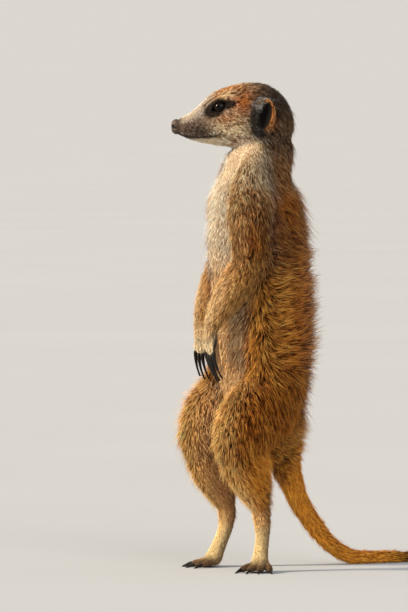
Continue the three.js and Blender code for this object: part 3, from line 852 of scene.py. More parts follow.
# %% The lie
PARTING = -13.0     # where along the body the flank's hair parts
lie = np.zeros_like(skin_points)
for i, form in enumerate(forms.values()):
    way = -1.0 if kinds[i] in ("trunk", "head") else 1.0
    lie += weights[i][:, None] * way * form.tangent[nearest[i]]
neck_turn = np.radians(above(236, 262) * HEAD_TURN)
back_way = np.stack([-np.sin(neck_turn), np.cos(neck_turn), 0 * height], 1)
parted = np.tanh((skin_points[:, 1] - PARTING) / 8)
parted = np.where(parted > 0, 2.0, 1.1) * parted
lean = 0.55 + (parted - 0.55) * below(178, 212)
lie += (on_trunk * lean)[:, None] * back_way
lie[:, 2] += on_trunk * ramp(parted, 0.2, 1.6) * above(96, 144) * below(180, 226) * 1.35
lie[:, 2] -= on_head * (0.25 + 1.1 * ramp(rearward, -14, 14))
lie += (0.8 * share["thigh"] * above(62, 100) + 0.5 * share["shank"])[:, None] * np.array([0, 1.0, 0])
lie = relaxed(lie, edges, 12, 0.6)
lie = unit(lie - (lie * normals).sum(1, keepdims=True) * normals)

# %% [markdown]
# ## Length, lift, width and density
# The coat is shortest on the muzzle and feet, where it lies flat, and longest along the spine, where the tips of
# the guard hairs stand out. The table's values change further with the place: less length on the neck, breast,
# belly and inner leg, more lift along the spine and at the parting.

# %% The coat's measures
length, lift, width, density, grizzle, speckle = (by_kind(column) for column in range(6))
muzzle = ramp(forward, 14, 46)
nape = ramp(rearward, -4, 14) * below(272, 292)
length += on_head * (-1.75 * muzzle + 1.5 * nape + 0.5 * ramp(rearward, -20, 5))
width += on_head * (-0.09 * muzzle + 0.06 * nape)
density += on_head * (2.6 * muzzle - 1.4 * nape)
for sign in (1, -1):
    local = in_ear(head_place, sign)
    at_ear = ramp(-ear_gap(local), -1.15, -0.9)
    length *= 1 - at_ear * np.where(local[:, 1] > 1, 0.62, 0.3)    # the ear's rear rim is nearly bare
    width *= 1 - 0.25 * at_ear
spine, belly, neck = dorsal(80, 145) * on_trunk, ventral(28, 50) * on_trunk, above(232, 252) * on_trunk
length += spine * (2.4 - 2.6 * neck) - 3.4 * belly - 3.2 * neck
lift += 16 * spine * (1 - neck) - 5 * belly - 5 * neck * (1 - spine)
length -= 3.6 * on_trunk * below(78, 94) + 2.4 * share["thigh"] * behind(4, 12) * below(84, 96)
breast = on_trunk * above(170, 190) * ventral(45, 70)
length -= 0.9 * breast
width -= 0.05 * breast + 0.06 * neck
density += 0.6 * neck - 1.2 * belly * (1 - breast)
whorl = bell(np.stack([skin_points[:, 1] - PARTING, height - 165], 1), (0, 0), (10, 36)) * on_trunk
lift += 22 * whorl + 10 * share["thigh"] * ramp(-skin_points[:, 1], 6, 24)
inner_leg = (share["thigh"] + share["shank"]) * ramp(-outward, 0.0, 0.5)
length -= 2.4 * inner_leg
lift -= 6 * inner_leg
length -= 3.0 * bell(skin_points, (0, 11, 62), (22, 9, 13))
measures = np.stack([length, lift, width, density], 1)
length, lift, width, density = relaxed(measures, edges, 8, 0.6 * (1 - on_head)[:, None]).T
SHORTEST = 0.8
length = np.maximum(length, SHORTEST)

# %% Bare places: creases, eyes, the ears' hollows, nose, lips and soles
bare = crease * (0.8 - 0.5 * hands)
for sign in (1, -1):
    local = in_eye(head_place, sign)
    at_eye = (local[:, 0] > -2) & (np.linalg.norm(local, axis=1) < EYE_ZONE)
    bare = np.maximum(bare, np.where(at_eye, 1 - ramp(almond(local[:, 1], local[:, 2]), 1.18, 1.4), 0))
    local = in_ear(head_place, sign)
    _, inside = hollowed(local.copy(), sign)
    bare = np.maximum(bare, (ear_gap(local) < 1) & (inside > 0.12) & (sign * local[:, 0] > -1))
bare = np.maximum(bare, 1 - ramp(nose_gap, 4.6, 5.4))
bare = np.maximum(bare, np.exp(-((mouth_gap / 0.45) ** 2)))
bare = np.maximum(bare, ((share["foot"] + share["toe"]) > 0.3) & (normals[:, 2] < -0.6))
density *= 1 - np.clip(bare, 0, 1)
print("hair length", length.min().round(1), "to", length.max().round(1), "mm")

# %% [markdown]
# ## Markings
# The animal is golden-brown on flank, limbs and tail, dark red-brown along the spine, pale on throat and chest,
# and grizzled grey on crown, cheek and muzzle. Its face has a dark patch round each eye, a black rim to
# the lips, and black ears; the last third of the tail is dark. Several rows also paint shade and light: shade
# under and behind the arms, between them, between the digits, on the wrists and in the ears' hollows, shade
# added to the back's and the tail's own darker colour, and light on the fronts of the limbs and the right of
# the throat. Colours are painted one over another, each through a soft mask, and the skin and the hair both
# take them from here. Each row is a mask and a colour.

# %% Body markings, with painted shade and light
colour = by_kind(6)


def paint(mask, code):
    """Lays a colour over the coat through a mask from 0 to 1."""
    global colour
    mask = np.clip(mask, 0, 1)[:, None]
    colour = colour * (1 - mask) + tint(code) * mask


bands = 0.5 + 0.5 * np.sin(height / 2.2 + 0.04 * angle)
throat = on_trunk * above(232, 250)
# the pale throat, carried further round the neck's right side as painted light on that edge
throat_front = 1 - ramp(angle - 48 * ramp(-skin_points[:, 0], -4, 8), 8, 44)
lower_leg = share["foot"] + share["shank"] * below(44, 66)
# the tail's upper and rear side, darker: partly its own colour, partly painted shade on the side turned from the light
back_of_tail = share["tail"] * ramp(normals[:, 1] + normals[:, 2] * 0.6, 0.1, 0.8)
tail_end = share["tail"] * behind(84, 112)
# the dark palms and pads, and painted shade on the forearm's underside near the wrist, between arm and belly
palm = (hands + 0.5 * share["forearm"] * below(148, 157)) * ramp(0.82 * outward + 0.55 * normals[:, 1], 0.5, 0.78)
for mask, code in (
    (on_trunk * ventral(26, 42) * above(74, 98), "f6c080"),  # belly
    # darker rust-brown spine: partly the coat's own colour, partly painted shade on the back
    (on_trunk * dorsal(96, 140) * 0.85, "6a2c0a"),  # spine
    (on_trunk * dorsal(100, 140) * below(190, 215) * 0.35 * bands, "3a2010"),  # faint bands
    # painted shade on the flank under the elbow
    (on_trunk * bell(skin_points, (0, -24, 168), (60, 9, 13)) * sideways(10, 18) * 0.5, "5a3c20"),  # under the elbow
    (on_trunk * dorsal(36, 46) * ventral(62, 84) * below(176, 196) * 0.65, "cc8630"),  # front of the flank
    (on_trunk * above(186, 214) * below(236, 252) * dorsal(66, 104) * 0.6, "6a3410"),  # shoulder blade
    (on_trunk * above(178, 200) * ventral(38, 62), "f4e4cc"),  # chest
    # painted shade on the chest between the arms
    (on_trunk * bell(skin_points, (-6, -30, 196), (14, 12, 22)) * 0.5, "c4a27a"),  # between the arms
    (throat * dorsal(12, 60), "8a7157"),  # side of the neck
    # pale throat; its wider reach on the right side is painted light
    (throat * throat_front, "eae5e6"),  # throat
    (throat * dorsal(44, 78) * below(244, 268), "905624"),  # foot of the neck
    (throat * dorsal(80, 130), "6e3a12"),  # back of the neck
    (share["upper_arm"] * above(206, 236) * 0.75, "a07c50"),  # shoulder
    ((share["upper_arm"] + on_trunk * ventral(38, 64)) * above(230, 246) * 0.75, "d6bc94"),  # collar
    # paler front of the upper arm: partly the coat's own colour, partly painted light on the side that faces the light
    (share["upper_arm"] * fronting(0.25, 0.85) * 0.5, "d0a66c"),  # front of the arm
    # dark rear of the upper arm: partly darker fur, partly painted shade
    (share["upper_arm"] * behind(-25, -11) * above(178, 200) * below(222, 236) * 0.9, "4a2a10"),  # its rear
    # painted shade on the flank behind the arm, where the arm meets it
    (on_trunk * bell(skin_points, (0, -3, 201), (60, 9, 28)) * sideways(12, 22) * 0.95, "3e2410"),  # behind the arm
    (share["thigh"] * behind(6, 16) * 0.5, "84460f"),  # back of the thigh
    (on_trunk * below(80, 104), "ba701e"),  # rump
    (inner_leg * 0.85, "e2ae78"),
    (lower_leg * ramp(normals[:, 1], -0.2, 0.55) * 0.85, "7c5028"),  # heel
    (lower_leg * fronting(0.2, 0.8) * 0.6, "fae6b4"),  # instep
    # darker upper and rear side of the tail: partly its own colour, partly painted shade
    (back_of_tail * 0.8, "a65c1a"),
    (tail_end, "2c180e"),
    # dark palms, with painted shade near the wrist
    (palm, "241b17"),
    # painted shade in the creases between the digits
    (crease * (0.85 - 0.45 * hands), "2c2018"),
    # paler fronts of thigh, shank and forearm: partly the coat's own colour, partly painted light on the side that
    # faces the light
    (share["thigh"] * fronting(0.4, 0.95) * 0.7, "f0bc6a"),
    (share["shank"] * fronting(0.15, 0.8) * 0.75, "f6c474"),
    (share["forearm"] * fronting(0.3, 0.9) * 0.5, "f6dcae"),
    (share["forearm"] * above(170, 192) * 0.7, "b87a34"),  # elbow
    (share["upper_arm"] * below(188, 208) * 0.5, "b87a34"),  # above it
):
    paint(mask, code)
softened = 1 - np.clip(on_head + hands + share["toe"] + palm, 0, 1)
colour = relaxed(colour, edges, 9, 0.6 * softened[:, None])

# %% Face markings, with painted shade in the ears
WHISKER_SPOTS = [(9.5 - 0.28 * (ahead - 33), -ahead, 275.6 - 2.1 * row + 0.05 * (ahead - 33))
                 for row in range(3) for ahead in (33 + row, 36.4 + row, 39.8 + row, 43.2 + row)]


def patch(centre, size, strength=1.0):
    """A soft patch at the same place on both sides of the head."""
    return on_head * bell(folded, centre, size) * strength


def oval(back, up, middle, size):
    """The distance from the middle of an oval in the plane of the eyelids, 1 on its border."""
    return np.sqrt(((back - middle[0]) / size[0]) ** 2 + ((up - middle[1]) / size[1]) ** 2)


for mask, code in (
    (on_head * ramp(rearward, -20, 6) * above(262, 280), "3e2e22"),  # back of the crown
    (patch((8, -24, 298), (11, 15, 8), 0.95), "c47826"),  # forehead
    (patch((16, -10, 288), (8, 7, 9)), "a8540f"),  # temple
    (patch((14.5, -18.5, 279), (5, 7, 3.4), 0.95), "ad5c1e"),  # under the eye
    (patch((12.5, -21, 294.5), (5, 5.5, 2.6), 0.9), "ecd3a8"),  # brow
    (patch((14, -9, 274), (9, 12, 7), 0.85), "d8ba8e"),  # cheek
    (patch((12, -20, 272.6), (5, 7, 3), 0.8), "ecd8b2"),  # front of the cheek
    (on_head * nape, "6a4524"),
    (on_head * ramp(forward, 22, 38) * 0.9, "776459"),  # muzzle
    (on_head * ramp(forward, 24, 40) * ramp(normals[:, 2], 0.1, 0.7) * 0.85, "e8dccc"),  # its bridge
    (patch((9, -35, 271.2), (6, 10, 3.2), 0.9), "3a302b"),  # lip
    (on_head * below(265.5, 268.6) * ramp(forward, 12, 24), "f6e8cc"),  # chin
    *((patch(spot, (2.4, 0.85, 0.7), 0.95), "1e1612") for spot in WHISKER_SPOTS),
):
    paint(mask, code)
for sign in (1, -1):
    out, back, up = in_eye(head_place, sign).T
    facing = on_head * (out > -4)
    dark = np.minimum(oval(back, up, (-3.2, 0.2), (8.2, 5.0)), oval(back, up + 0.16 * back, (3, -0.2), (6.8, 2.9)))
    paint(facing * (1 - ramp(dark, 0.84, 1.22)) * 0.97, "22150f")
    paint(facing * (1 - ramp(almond(back, up), 1.2, 1.5)), "16100d")
paint(on_head * np.exp(-((mouth_gap / 1.1) ** 2)) * 0.9, "261a15")
paint(on_head * (1 - ramp(nose_gap, 4.8, 7.5)) * 0.9, "4a3a33")
for sign in (1, -1):
    local = in_ear(head_place, sign)
    _, wide_place, high_place = local.T
    on_ear = ramp(-np.linalg.norm(local / (EAR_SIZE + (1.4, 2, 1)), axis=1), -1.3, -0.92)
    outer = ramp(oval(wide_place, high_place, (0, 0), EAR_SIZE[1:]), 0.62, 0.8)
    rim = np.maximum(ramp(wide_place, 4.2, 6.2), outer * ramp(wide_place + 0.2 * high_place, -0.5, 2.5))
    fluff = ramp(high_place, 1, 8) * (1 - ramp(wide_place, -2, 2))
    paint(on_ear * (1 - rim) * 0.95, "1f1b1a")
    paint(on_ear * fluff * 0.65, "9a918a")
    paint(on_ear * rim * ramp(high_place, -10, -5), "9c6234")
    # the ear's hollow near black: partly its dark skin, partly painted shade in the hollow
    paint(on_ear * (hollowed(local.copy(), sign)[1] > 0.1), "0e0807")
print("markings painted on", len(colour), "points")

# %% [markdown]
# ## Grizzle
# Many hairs are banded: dark at the root, coloured in the middle and pale at the tip. How pale and how often
# is the grizzle, which is strongest on the back and crown and absent on the tail's end and the eye patch.
# Flecks are small dark groups of hair on crown and neck. Tips are golden on the body, and cream on the face,
# the feet and the pale parts.

# %% Grizzle, speckle and tips
brightness = colour.mean(1)
grizzle *= 1 - 0.8 * tail_end
grizzle *= 1 - 0.85 * (1 - ramp(brightness, 0.012, 0.05))
flecks = 1.9 * on_head * ramp(rearward, -32, -18) + throat * dorsal(10, 30) + 0.3 * share["forearm"]
paleness = ramp(brightness, 0.25, 0.6)
speckle *= (1 - 0.5 * inner_leg) * (1 - 0.5 * paleness)
root_shade = (1 - 0.8 * share["tail"]) * (1 - 0.75 * paleness) * ramp(length, 1.0, 5.0)
orange = bell(folded, (16, -10, 288), (9, 8, 10)) + bell(folded, (14.5, -18.5, 279), (6, 8, 4))
creamy = (0.5 * spine * above(90, 120) + on_head + hands + share["foot"] - 0.8 * orange
          + on_trunk * above(200, 240) * ventral(38, 68) + belly * above(74, 98) + ramp(colour[:, 2], 0.12, 0.4))
creamy = np.clip(creamy, 0, 1)[:, None]
glow = ramp(brightness / tint(COAT["trunk"][-1]).mean(), -0.3, 1.1)[:, None]
tips = 0.5 * glow * (tint("f2a244") * (1 - creamy) + tint("fdeccc") * creamy) + 0.5 * colour**0.68
tips = colour + (tips - colour) * np.clip(grizzle, 0, 1)[:, None]
print("grizzle up to", grizzle.max().round(2))

# %% [markdown]
# ## Locks of hair
# A lock is a thin closed spike of six triangles: a root under the skin, a ring of three points where it is
# widest, and a tip. It lifts off the skin at the root and bends back towards it at the tip. Roots fall on
# the skin at random, by area and density. Hairs also lean together, so the tips of all locks in a small
# cell of space are drawn towards their common middle. There are three sorts: a few long thin wisps that stand
# out, guard hairs, and the shorter, darker wool between them.

# %% Scattering the roots
chance = np.random.default_rng(HAIR_SEED)
expected = np.linalg.norm(face_normals, axis=1) / 2 * density[triangles].mean(1)
root_face = np.repeat(np.arange(len(triangles)), np.floor(expected + chance.random(len(triangles))).astype(int))
first, second = chance.random((2, len(root_face)))
first = np.sqrt(first)
corner_share = np.stack([1 - first, first * (1 - second), first * second], 1)
closest = triangles[root_face, corner_share.argmax(1)]


def at_roots(values):
    """A value of the skin's points, carried to the roots by their shares of the triangle's corners."""
    picked = values[triangles[root_face]]
    return np.einsum("ij,ij...->i...", corner_share, picked)


roots, root_normals, root_lie = at_roots(skin_points), unit(at_roots(normals)), at_roots(lie)
root_length, root_lift, root_width = at_roots(length), at_roots(lift), at_roots(width)
root_colour, root_tips, root_shades = at_roots(colour), at_roots(tips), at_roots(root_shade)
many = len(roots)
print(many, "roots")

# %% The shape of a lock
LOCK_FACES = np.array([[0, 3, 1], [0, 2, 3], [0, 1, 2], [4, 1, 3], [4, 3, 2], [4, 2, 1]])
LOCK_POINTS = 5
BEND, REST = 0.42, 0.58    # shares of a lock's length before and after its widest place
ROOT_DEPTH = 0.25          # millimetres that a root is under the skin
CELL_KEYS = np.array([1, 5003, 5003**2])


def cells_of(points, size):
    """A number for the cell of space that each point is in, with the grid bent so that its planes don't show."""
    bent = points + 0.9 * np.sin(points[:, [1, 2, 0]] / 3.1) + 0.7 * np.sin(points[:, [2, 0, 1]] / 1.7 + 2)
    cell = np.floor(bent / np.reshape(size, (-1, 1))).astype(np.int64)
    return np.unique(cell @ CELL_KEYS, return_inverse=True)[1].ravel()


def locks(start, normal, way, long, lifted, wide, gather=0.0, cell=None):
    """Root, left, right, top and tip: bend = root + BEND L rising, tip = bend + REST L falling."""
    side = unit(np.cross(way, normal))
    steep, flat = np.radians(lifted * 1.35), np.radians(lifted * 0.55)
    rising = way * np.cos(steep)[:, None] + normal * np.sin(steep)[:, None]
    falling = way * np.cos(flat)[:, None] + normal * np.sin(flat)[:, None]
    bend = start + rising * (BEND * long)[:, None]
    tip = bend + falling * (REST * long)[:, None]
    if cell is not None:
        mean = np.stack([np.bincount(cell, tip[:, k]) for k in range(3)], 1) / np.bincount(cell)[:, None]
        tip = tip + gather[:, None] * (mean[cell] - tip)
    up = unit(np.cross(side, rising))
    half = (0.5 * wide)[:, None]
    return np.stack([start - ROOT_DEPTH * normal, bend - side * half, bend + side * half, bend + up * half * 0.9,
                     tip], 1)


# %% Shaping the locks
WIDEST, PRESSED = 40.3, 0.65    # millimetres to the right, past which hair lies down by this share
CLUMP = 1.6          # millimetres across a clump, for hair 6 mm long
FLOOR_GAP = 0.06
# the wool's low tone is partly the coat's own darker underfur and partly painted shade among the hairs
SORTS = {"length": (1.5, 1.15, 0.92), "lift": (12, 4, -2), "width": (0.8, 1.15, 1.0), "gather": (0.1, 0.75, 1.0),
         "tone": (0.8, 0.3, -0.95), "paleness": (0.4, 0.08, 0.0), "tip": (0.85, 0.6, 0.22),
         "tip_spread": (0.15, 0.4, 0.4)}    # for wisps, guard hairs and wool


def by_sort(what):
    """The value of each lock's own sort."""
    return np.select([wisp, guard], SORTS[what][:2], SORTS[what][2])


cells = cells_of(roots, np.maximum(CLUMP * root_length / 6.0, 0.75))
cell_turn, cell_long = (chance.normal(0, 1, cells.max() + 1)[cells] for _ in range(2))
wave = np.sin(roots[:, 2] / 3.3 + 1.5 * np.sin(roots[:, 1] / 6.1) + 1.1 * np.sin(roots[:, 0] / 5.3))
sway = 0.15 * cell_turn + 0.12 * chance.normal(0, 1, many) + 0.16 * ramp(root_length, 3, 7) * wave    # radians
way = unit(root_lie - (root_lie * root_normals).sum(1, keepdims=True) * root_normals)
way = way * np.cos(sway)[:, None] + np.cross(root_normals, way) * np.sin(sway)[:, None]
draw = chance.random(many)
furry = ramp(root_length, 2.0, 6.5)
wispy = ramp(at_roots(spine + share["thigh"] + share["shank"]), 0.2, 0.8)
wisp = draw < (0.08 + 0.12 * wispy) * furry
guard = (draw < 0.08 + 0.34 * furry) & ~wisp
long = root_length * (1 + 0.12 * cell_long + 0.14 * chance.normal(0, 1, many)).clip(0.55, 1.5) * by_sort("length")
lifted = root_lift * (1 + 0.22 * chance.normal(0, 1, many) + 0.15 * cell_turn) + by_sort("lift")
wide = root_width * (0.75 + 0.5 * chance.random(many)) * by_sort("width")
gather = 0.55 * ramp(root_length, 2.6, 6.8) * by_sort("gather")
lock_points = locks(roots, root_normals, way, long, lifted.clip(4, 66), wide, gather, cells)
lock_points[..., 2] = np.maximum(lock_points[..., 2], FLOOR_GAP)
lock_points[..., 0] += PRESSED * np.maximum(-lock_points[..., 0] - WIDEST, 0)
print("locks reach from", lock_points.min((0, 1)).round(1), "to", lock_points.max((0, 1)).round(1))

# %% Colouring the locks
fine_cells = cells_of(roots, 1.05)
spot = chance.normal(0, 1, fine_cells.max() + 1)[fine_cells]
tone = at_roots(speckle) * (0.45 * spot + (0.3 + 0.2 * furry) * cell_long + 0.85 * chance.normal(0, 1, many))
tone += by_sort("tone") * furry - 0.04
fleck_cells = cells_of(roots + 50, 1.45)
tone -= at_roots(flecks) * (ramp(chance.random(fleck_cells.max() + 1), 0.6, 0.9)[fleck_cells] - 0.22)
pale = (by_sort("paleness") * furry)[:, None]
BLUE_FADES_FIRST = (0.82, 1.08, 1.3)    # a dark lock is redder and a light one yellower
lock_colour = (root_colour + pale * (root_tips - root_colour)) * np.exp(tone[:, None] * BLUE_FADES_FIRST)
lock_colour *= np.minimum(1, 0.93 / lock_colour.max(1))[:, None]
tip_chance = by_sort("tip") + by_sort("tip_spread") * chance.random(many)

# %% [markdown]
# ## Materials
# Shader nodes do the fine variation that geometry is too coarse for. Writing their links one by one hides
# the sums they stand for, so a small class lets them be written as sums: a wire is one output socket, and
# adding or multiplying wires adds a Math node. Colours are mixed by a Mix node, and every other node is
# added by one method, settings first.

# %% Wires


class Wire:
    """One output socket of a material; arithmetic on it adds nodes to the same material."""

    def __init__(self, tree, socket=None):
        self.tree, self.socket = tree, socket

    def node(self, kind, settings=None, values=None, out=0):
        """Adds a node of a kind: first its settings, then a value, colour code or wire for each named socket."""
        made = self.tree.nodes.new("ShaderNode" + kind)
        for name, value in (settings or {}).items():
            setattr(made, name, value)
        for name, value in (values or {}).items():
            if isinstance(value, Wire):
                self.tree.links.new(value.socket, made.inputs[name])
            else:
                made.inputs[name].default_value = (*tint(value), 1.0) if isinstance(value, str) else value
        return Wire(self.tree, made.outputs[out])

    def math(self, operation, *values):
        """A Math node on wires and numbers."""
        return self.node("Math", {"operation": operation}, dict(enumerate(values)))

    def __add__(self, other):
        return self.math("ADD", self, other)

    def __sub__(self, other):
        return self.math("SUBTRACT", self, other)

    def __rsub__(self, other):
        return self.math("SUBTRACT", other, self)

    def __mul__(self, other):
        return self.math("MULTIPLY", self, other)

    __radd__, __rmul__ = __add__, __mul__

    def step(self, low, high):
        """A smooth step from 0 at low to 1 at high."""
        settings = {"interpolation_type": "SMOOTHSTEP"}
        return self.node("MapRange", settings, {"Value": self, "From Min": low, "From Max": high})

    def mixed(self, under, over):
        """The colour under where this wire is 0, and over where it is 1."""
        return self.node("Mix", {"data_type": "RGBA"}, {0: self, 6: under, 7: over}, out=2)

    def times(self, other):
        """A colour multiplied by a wire or by another colour."""
        settings = {"data_type": "RGBA", "blend_type": "MULTIPLY"}
        return self.node("Mix", settings, {0: 1.0, 6: self, 7: other}, out=2)

    def kept(self, name, out):
        """A value kept on the mesh's points: out is 0 for a colour, 1 for three numbers, 2 for one."""
        return self.node("Attribute", {"attribute_name": name}, out=out)

    def grain(self, scale, kind="TexNoise", stretch=(1.0, 1.0, 1.0), **values):
        """Noise or cells of so many to the metre, on the piece's own coordinates."""
        place = self.node("TexCoord", out=3)
        if min(stretch) < 1:
            place = self.node("Mapping", values={"Vector": place, "Scale": stretch})
        return self.node(kind, values={"Vector": place, "Scale": scale, **values}, out=0)

    def feed(self, socket):
        """Links this wire to the material's shader."""
        self.tree.links.new(self.socket, self.tree.nodes["Principled BSDF"].inputs[socket])

    def bumped(self, strength, distance):
        """Uses this wire as the height of a bump."""
        self.node("Bump", values={"Strength": strength, "Distance": distance, "Height": self}).feed("Normal")


def finish_named(name, **constants):
    """A material with one Principled shader, its constant sockets set, and a wire to start from."""
    material = bpy.data.materials.new(name)
    material.use_nodes = True
    for socket, value in constants.items():
        material.node_tree.nodes["Principled BSDF"].inputs[socket.replace("_", " ")].default_value = value
    return material, Wire(material.node_tree)


# %% [markdown]
# ## Coat and skin finishes
# Hair takes its marking from the lock, is dark near the root where little light reaches it, and turns pale
# towards the tip by as much as the lock's grizzle says. The skin below shows between the hairs, so it wears the
# same markings, darker, with painted shade where the hair is long, a fine speckle and a bump as of stubble.

# %% The coat's finish
coat, wire = finish_named("meerkat_hair", Roughness=0.55, Specular_IOR_Level=0.18)
strand = wire.kept("strand", 1)
along, pick, shade = (wire.node("SeparateXYZ", values={0: strand}, out=out) for out in range(3))
body = wire.kept("markings", 0).times(wire.grain(90.0, Detail=3.0, Roughness=0.6) * 0.5 + 0.76)
rootward = (1 - along.step(0.25, 0.95)) * shade
rooted = rootward.mixed(body, body.times((0.12, 0.08, 0.06, 1)))
(along.step(0.5, 1.0) * pick.step(0.1, 0.75)).mixed(rooted, wire.kept("tips", 0)).feed("Base Color")

# %% The skin's finish
bare_skin, wire = finish_named("meerkat_skin", Roughness=0.75, Specular_IOR_Level=0.08)
freckles = wire.grain(1500.0, Detail=2.0)
stubble = wire.grain(1900.0, "TexVoronoi")
under_fur = freckles.step(0.3, 0.7).mixed((0.22, 0.17, 0.14, 1), (0.62, 0.57, 0.52, 1))
wire.kept("markings", 0).times(under_fur).feed("Base Color")
(freckles + stubble * 0.5).bumped(0.5, 0.0003)
print("hair and skin finished")


# %% Dressing the skin
def stored(mesh, name, values):
    """Keeps one number, three numbers or a colour for each point of a mesh, for materials to read."""
    values = np.ascontiguousarray(values, np.float32)
    kind, field = {1: ("FLOAT", "value"), 3: ("FLOAT_VECTOR", "vector"), 4: ("FLOAT_COLOR", "color")}[
        values.size // len(values)]
    mesh.attributes.new(name, kind, "POINT").data.foreach_set(field, values.ravel())


def with_alpha(colours):
    """Colours with a fourth channel of 1."""
    return np.concatenate([colours, np.ones((len(colours), 1))], 1)


def made_piece(name, points, faces, material, **values):
    """A piece from points and faces, with its material and the values that the material reads."""
    mesh = mesh_from(name, points, faces)
    for kept_name, kept in values.items():
        stored(mesh, kept_name, kept)
    mesh.materials.append(material)
    return piece_from(name, mesh)


# painted shade: the skin is darker under long hair, where the coat would shade it
SKIN_SHADE = 0.65    # how much darker the skin is under long hair
stored(welded, "markings", with_alpha(colour * (1 - SKIN_SHADE * root_shade)[:, None]))
welded.materials.append(bare_skin)
flesh = [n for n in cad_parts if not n.startswith(("eye_", "claw_", "nose"))]
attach(skin, "root")
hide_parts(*flesh)
print("the skin stands for", len(flesh), "solids")

# %% [markdown]
# ## Coat pieces
# The coat is one covering, but a mesh of more than a million triangles is unwieldy, so it is kept as pieces
# by region. Each piece has a map named OFBake, on which a lock is a small patch at the place of its root. The map is
# an unwrap of the skin itself: the angle round the part's axis runs across it, and the way along the axis
# runs up it, one band for each part.

# %% Regions
PATCH = 0.003
SHOULDER, SIDE_LINE, FACE_LINE, DARK_TAIL = 232, 62, -14, 98
root_owner = owner[closest]
root_sample = nearest[root_owner, closest]
root_kind = kinds[root_owner]
is_trunk, is_head, is_tail = (root_kind == kind for kind in ("trunk", "head", "tail"))
is_arm = np.isin(root_kind, ["upper_arm", "forearm", "hand", "finger"])
is_leg = np.isin(root_kind, ["thigh", "shank", "foot", "toe"])
on_left = np.array(["left" in name for name in form_names])[root_owner]
in_face = in_head(roots)[:, 1] < FACE_LINE
low, rear, left_half = roots[:, 2] <= SHOULDER, trunk_angle(roots) >= SIDE_LINE, roots[:, 0] > 0
near_rump = roots[:, 1] < DARK_TAIL
REGIONS = {
    "coat_face": (is_head & in_face, "face_coat"),
    "coat_crown": (is_head & ~in_face, "face_coat"),
    "coat_neck": (is_trunk & ~low, "neck_coat"),
    "coat_belly": (is_trunk & low & ~rear, "body_coat"),
    "coat_back_left": (is_trunk & low & rear & left_half, "body_coat"),
    "coat_back_right": (is_trunk & low & rear & ~left_half, "body_coat"),
    "coat_arm_left": (is_arm & on_left, "limb_coat"),
    "coat_arm_right": (is_arm & ~on_left, "limb_coat"),
    "coat_leg_left": (is_leg & on_left, "limb_coat"),
    "coat_leg_right": (is_leg & ~on_left, "limb_coat"),
    "coat_tail": (is_tail & near_rump, "tail_coat"),
    "coat_tail_end": (is_tail & ~near_rump, "tail_tip_coat"),
}


def unwrapped(chosen):
    """Angle round the owner's axis over a full turn, and the way along it, in a band for each owner."""
    spots = np.empty((len(chosen), 2))
    owners = np.unique(root_owner[chosen])
    for band, which in enumerate(owners):
        form, mine = forms[form_names[which]], root_owner[chosen] == which
        near = root_sample[chosen[mine]]
        offset = roots[chosen[mine]] - form.middle[near]
        turn = np.arctan2((offset * form.back[near]).sum(1), (offset * form.across[near]).sum(1))
        up = (near + 0.5) / len(form.middle) + (offset * form.tangent[near]).sum(1) / form.length
        spots[mine] = np.stack([turn / (2 * np.pi) + 0.5, (band + np.clip(up, 0.01, 0.99)) / len(owners)], 1)
    return PATCH + spots * (1 - 2 * PATCH)


# %% One piece for each region
PATCH_CORNERS = np.array([(0, -0.5), (-0.5, 0), (0.5, 0), (0, 0.1), (0, 0.5)]) * PATCH
ALONG = np.array([0.0, BEND, BEND, BEND, 1.0])


def lock_faces(count):
    """The triangles of so many locks, one after another."""
    return (LOCK_FACES[None] + LOCK_POINTS * np.arange(count)[:, None, None]).reshape(-1, 3)


def spread(values):
    """One value for each lock, given to all its points."""
    return np.repeat(values, LOCK_POINTS, 0)


total = 0
for name, (mask, slot) in REGIONS.items():
    chosen = np.flatnonzero(mask)
    piece = made_piece(
        name, lock_points[chosen].reshape(-1, 3), lock_faces(len(chosen)), coat,
        markings=with_alpha(spread(lock_colour[chosen])), tips=with_alpha(spread(root_tips[chosen])),
        strand=np.stack([np.tile(ALONG, len(chosen)), spread(tip_chance[chosen]), spread(root_shades[chosen])], 1))
    corner_spots = (unwrapped(chosen)[:, None] + PATCH_CORNERS)[:, LOCK_FACES].reshape(-1)
    piece.data.uv_layers.new(name="OFBake").data.foreach_set("uv", corner_spots.astype(np.float32))
    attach(piece, "root")
    total += len(chosen) * len(LOCK_FACES)
    print(f"{name}: {len(chosen)} locks")
print("coat:", total, "triangles")

# %% [markdown]
# ## Eyes
# A meerkat's eye is nearly all iris: very dark brown with a darker pupil, wet, and a little more curved over
# the iris. One surface makes the ball, its radius swollen over the iris, and the angle from the gaze is
# kept on its points, so that rings of colour need no picture.

# %% Eyeballs
IRIS_EDGE, IRIS_SWELL = 0.75, 0.4    # radians from the gaze, and millimetres
eye_finish, wire = finish_named("wet_eye", Roughness=0.08, Specular_IOR_Level=0.1, Coat_Weight=0.05,
                                Coat_Roughness=0.03)
off_gaze = wire.kept("off_gaze", 2)
iris = wire.grain(2600.0, Detail=2.0).mixed("090402", "180b05")
ringed = off_gaze.step(0.55, IRIS_EDGE).mixed(iris, "060303")
off_gaze.step(0.27, 0.34).mixed("020101", ringed).feed("Base Color")


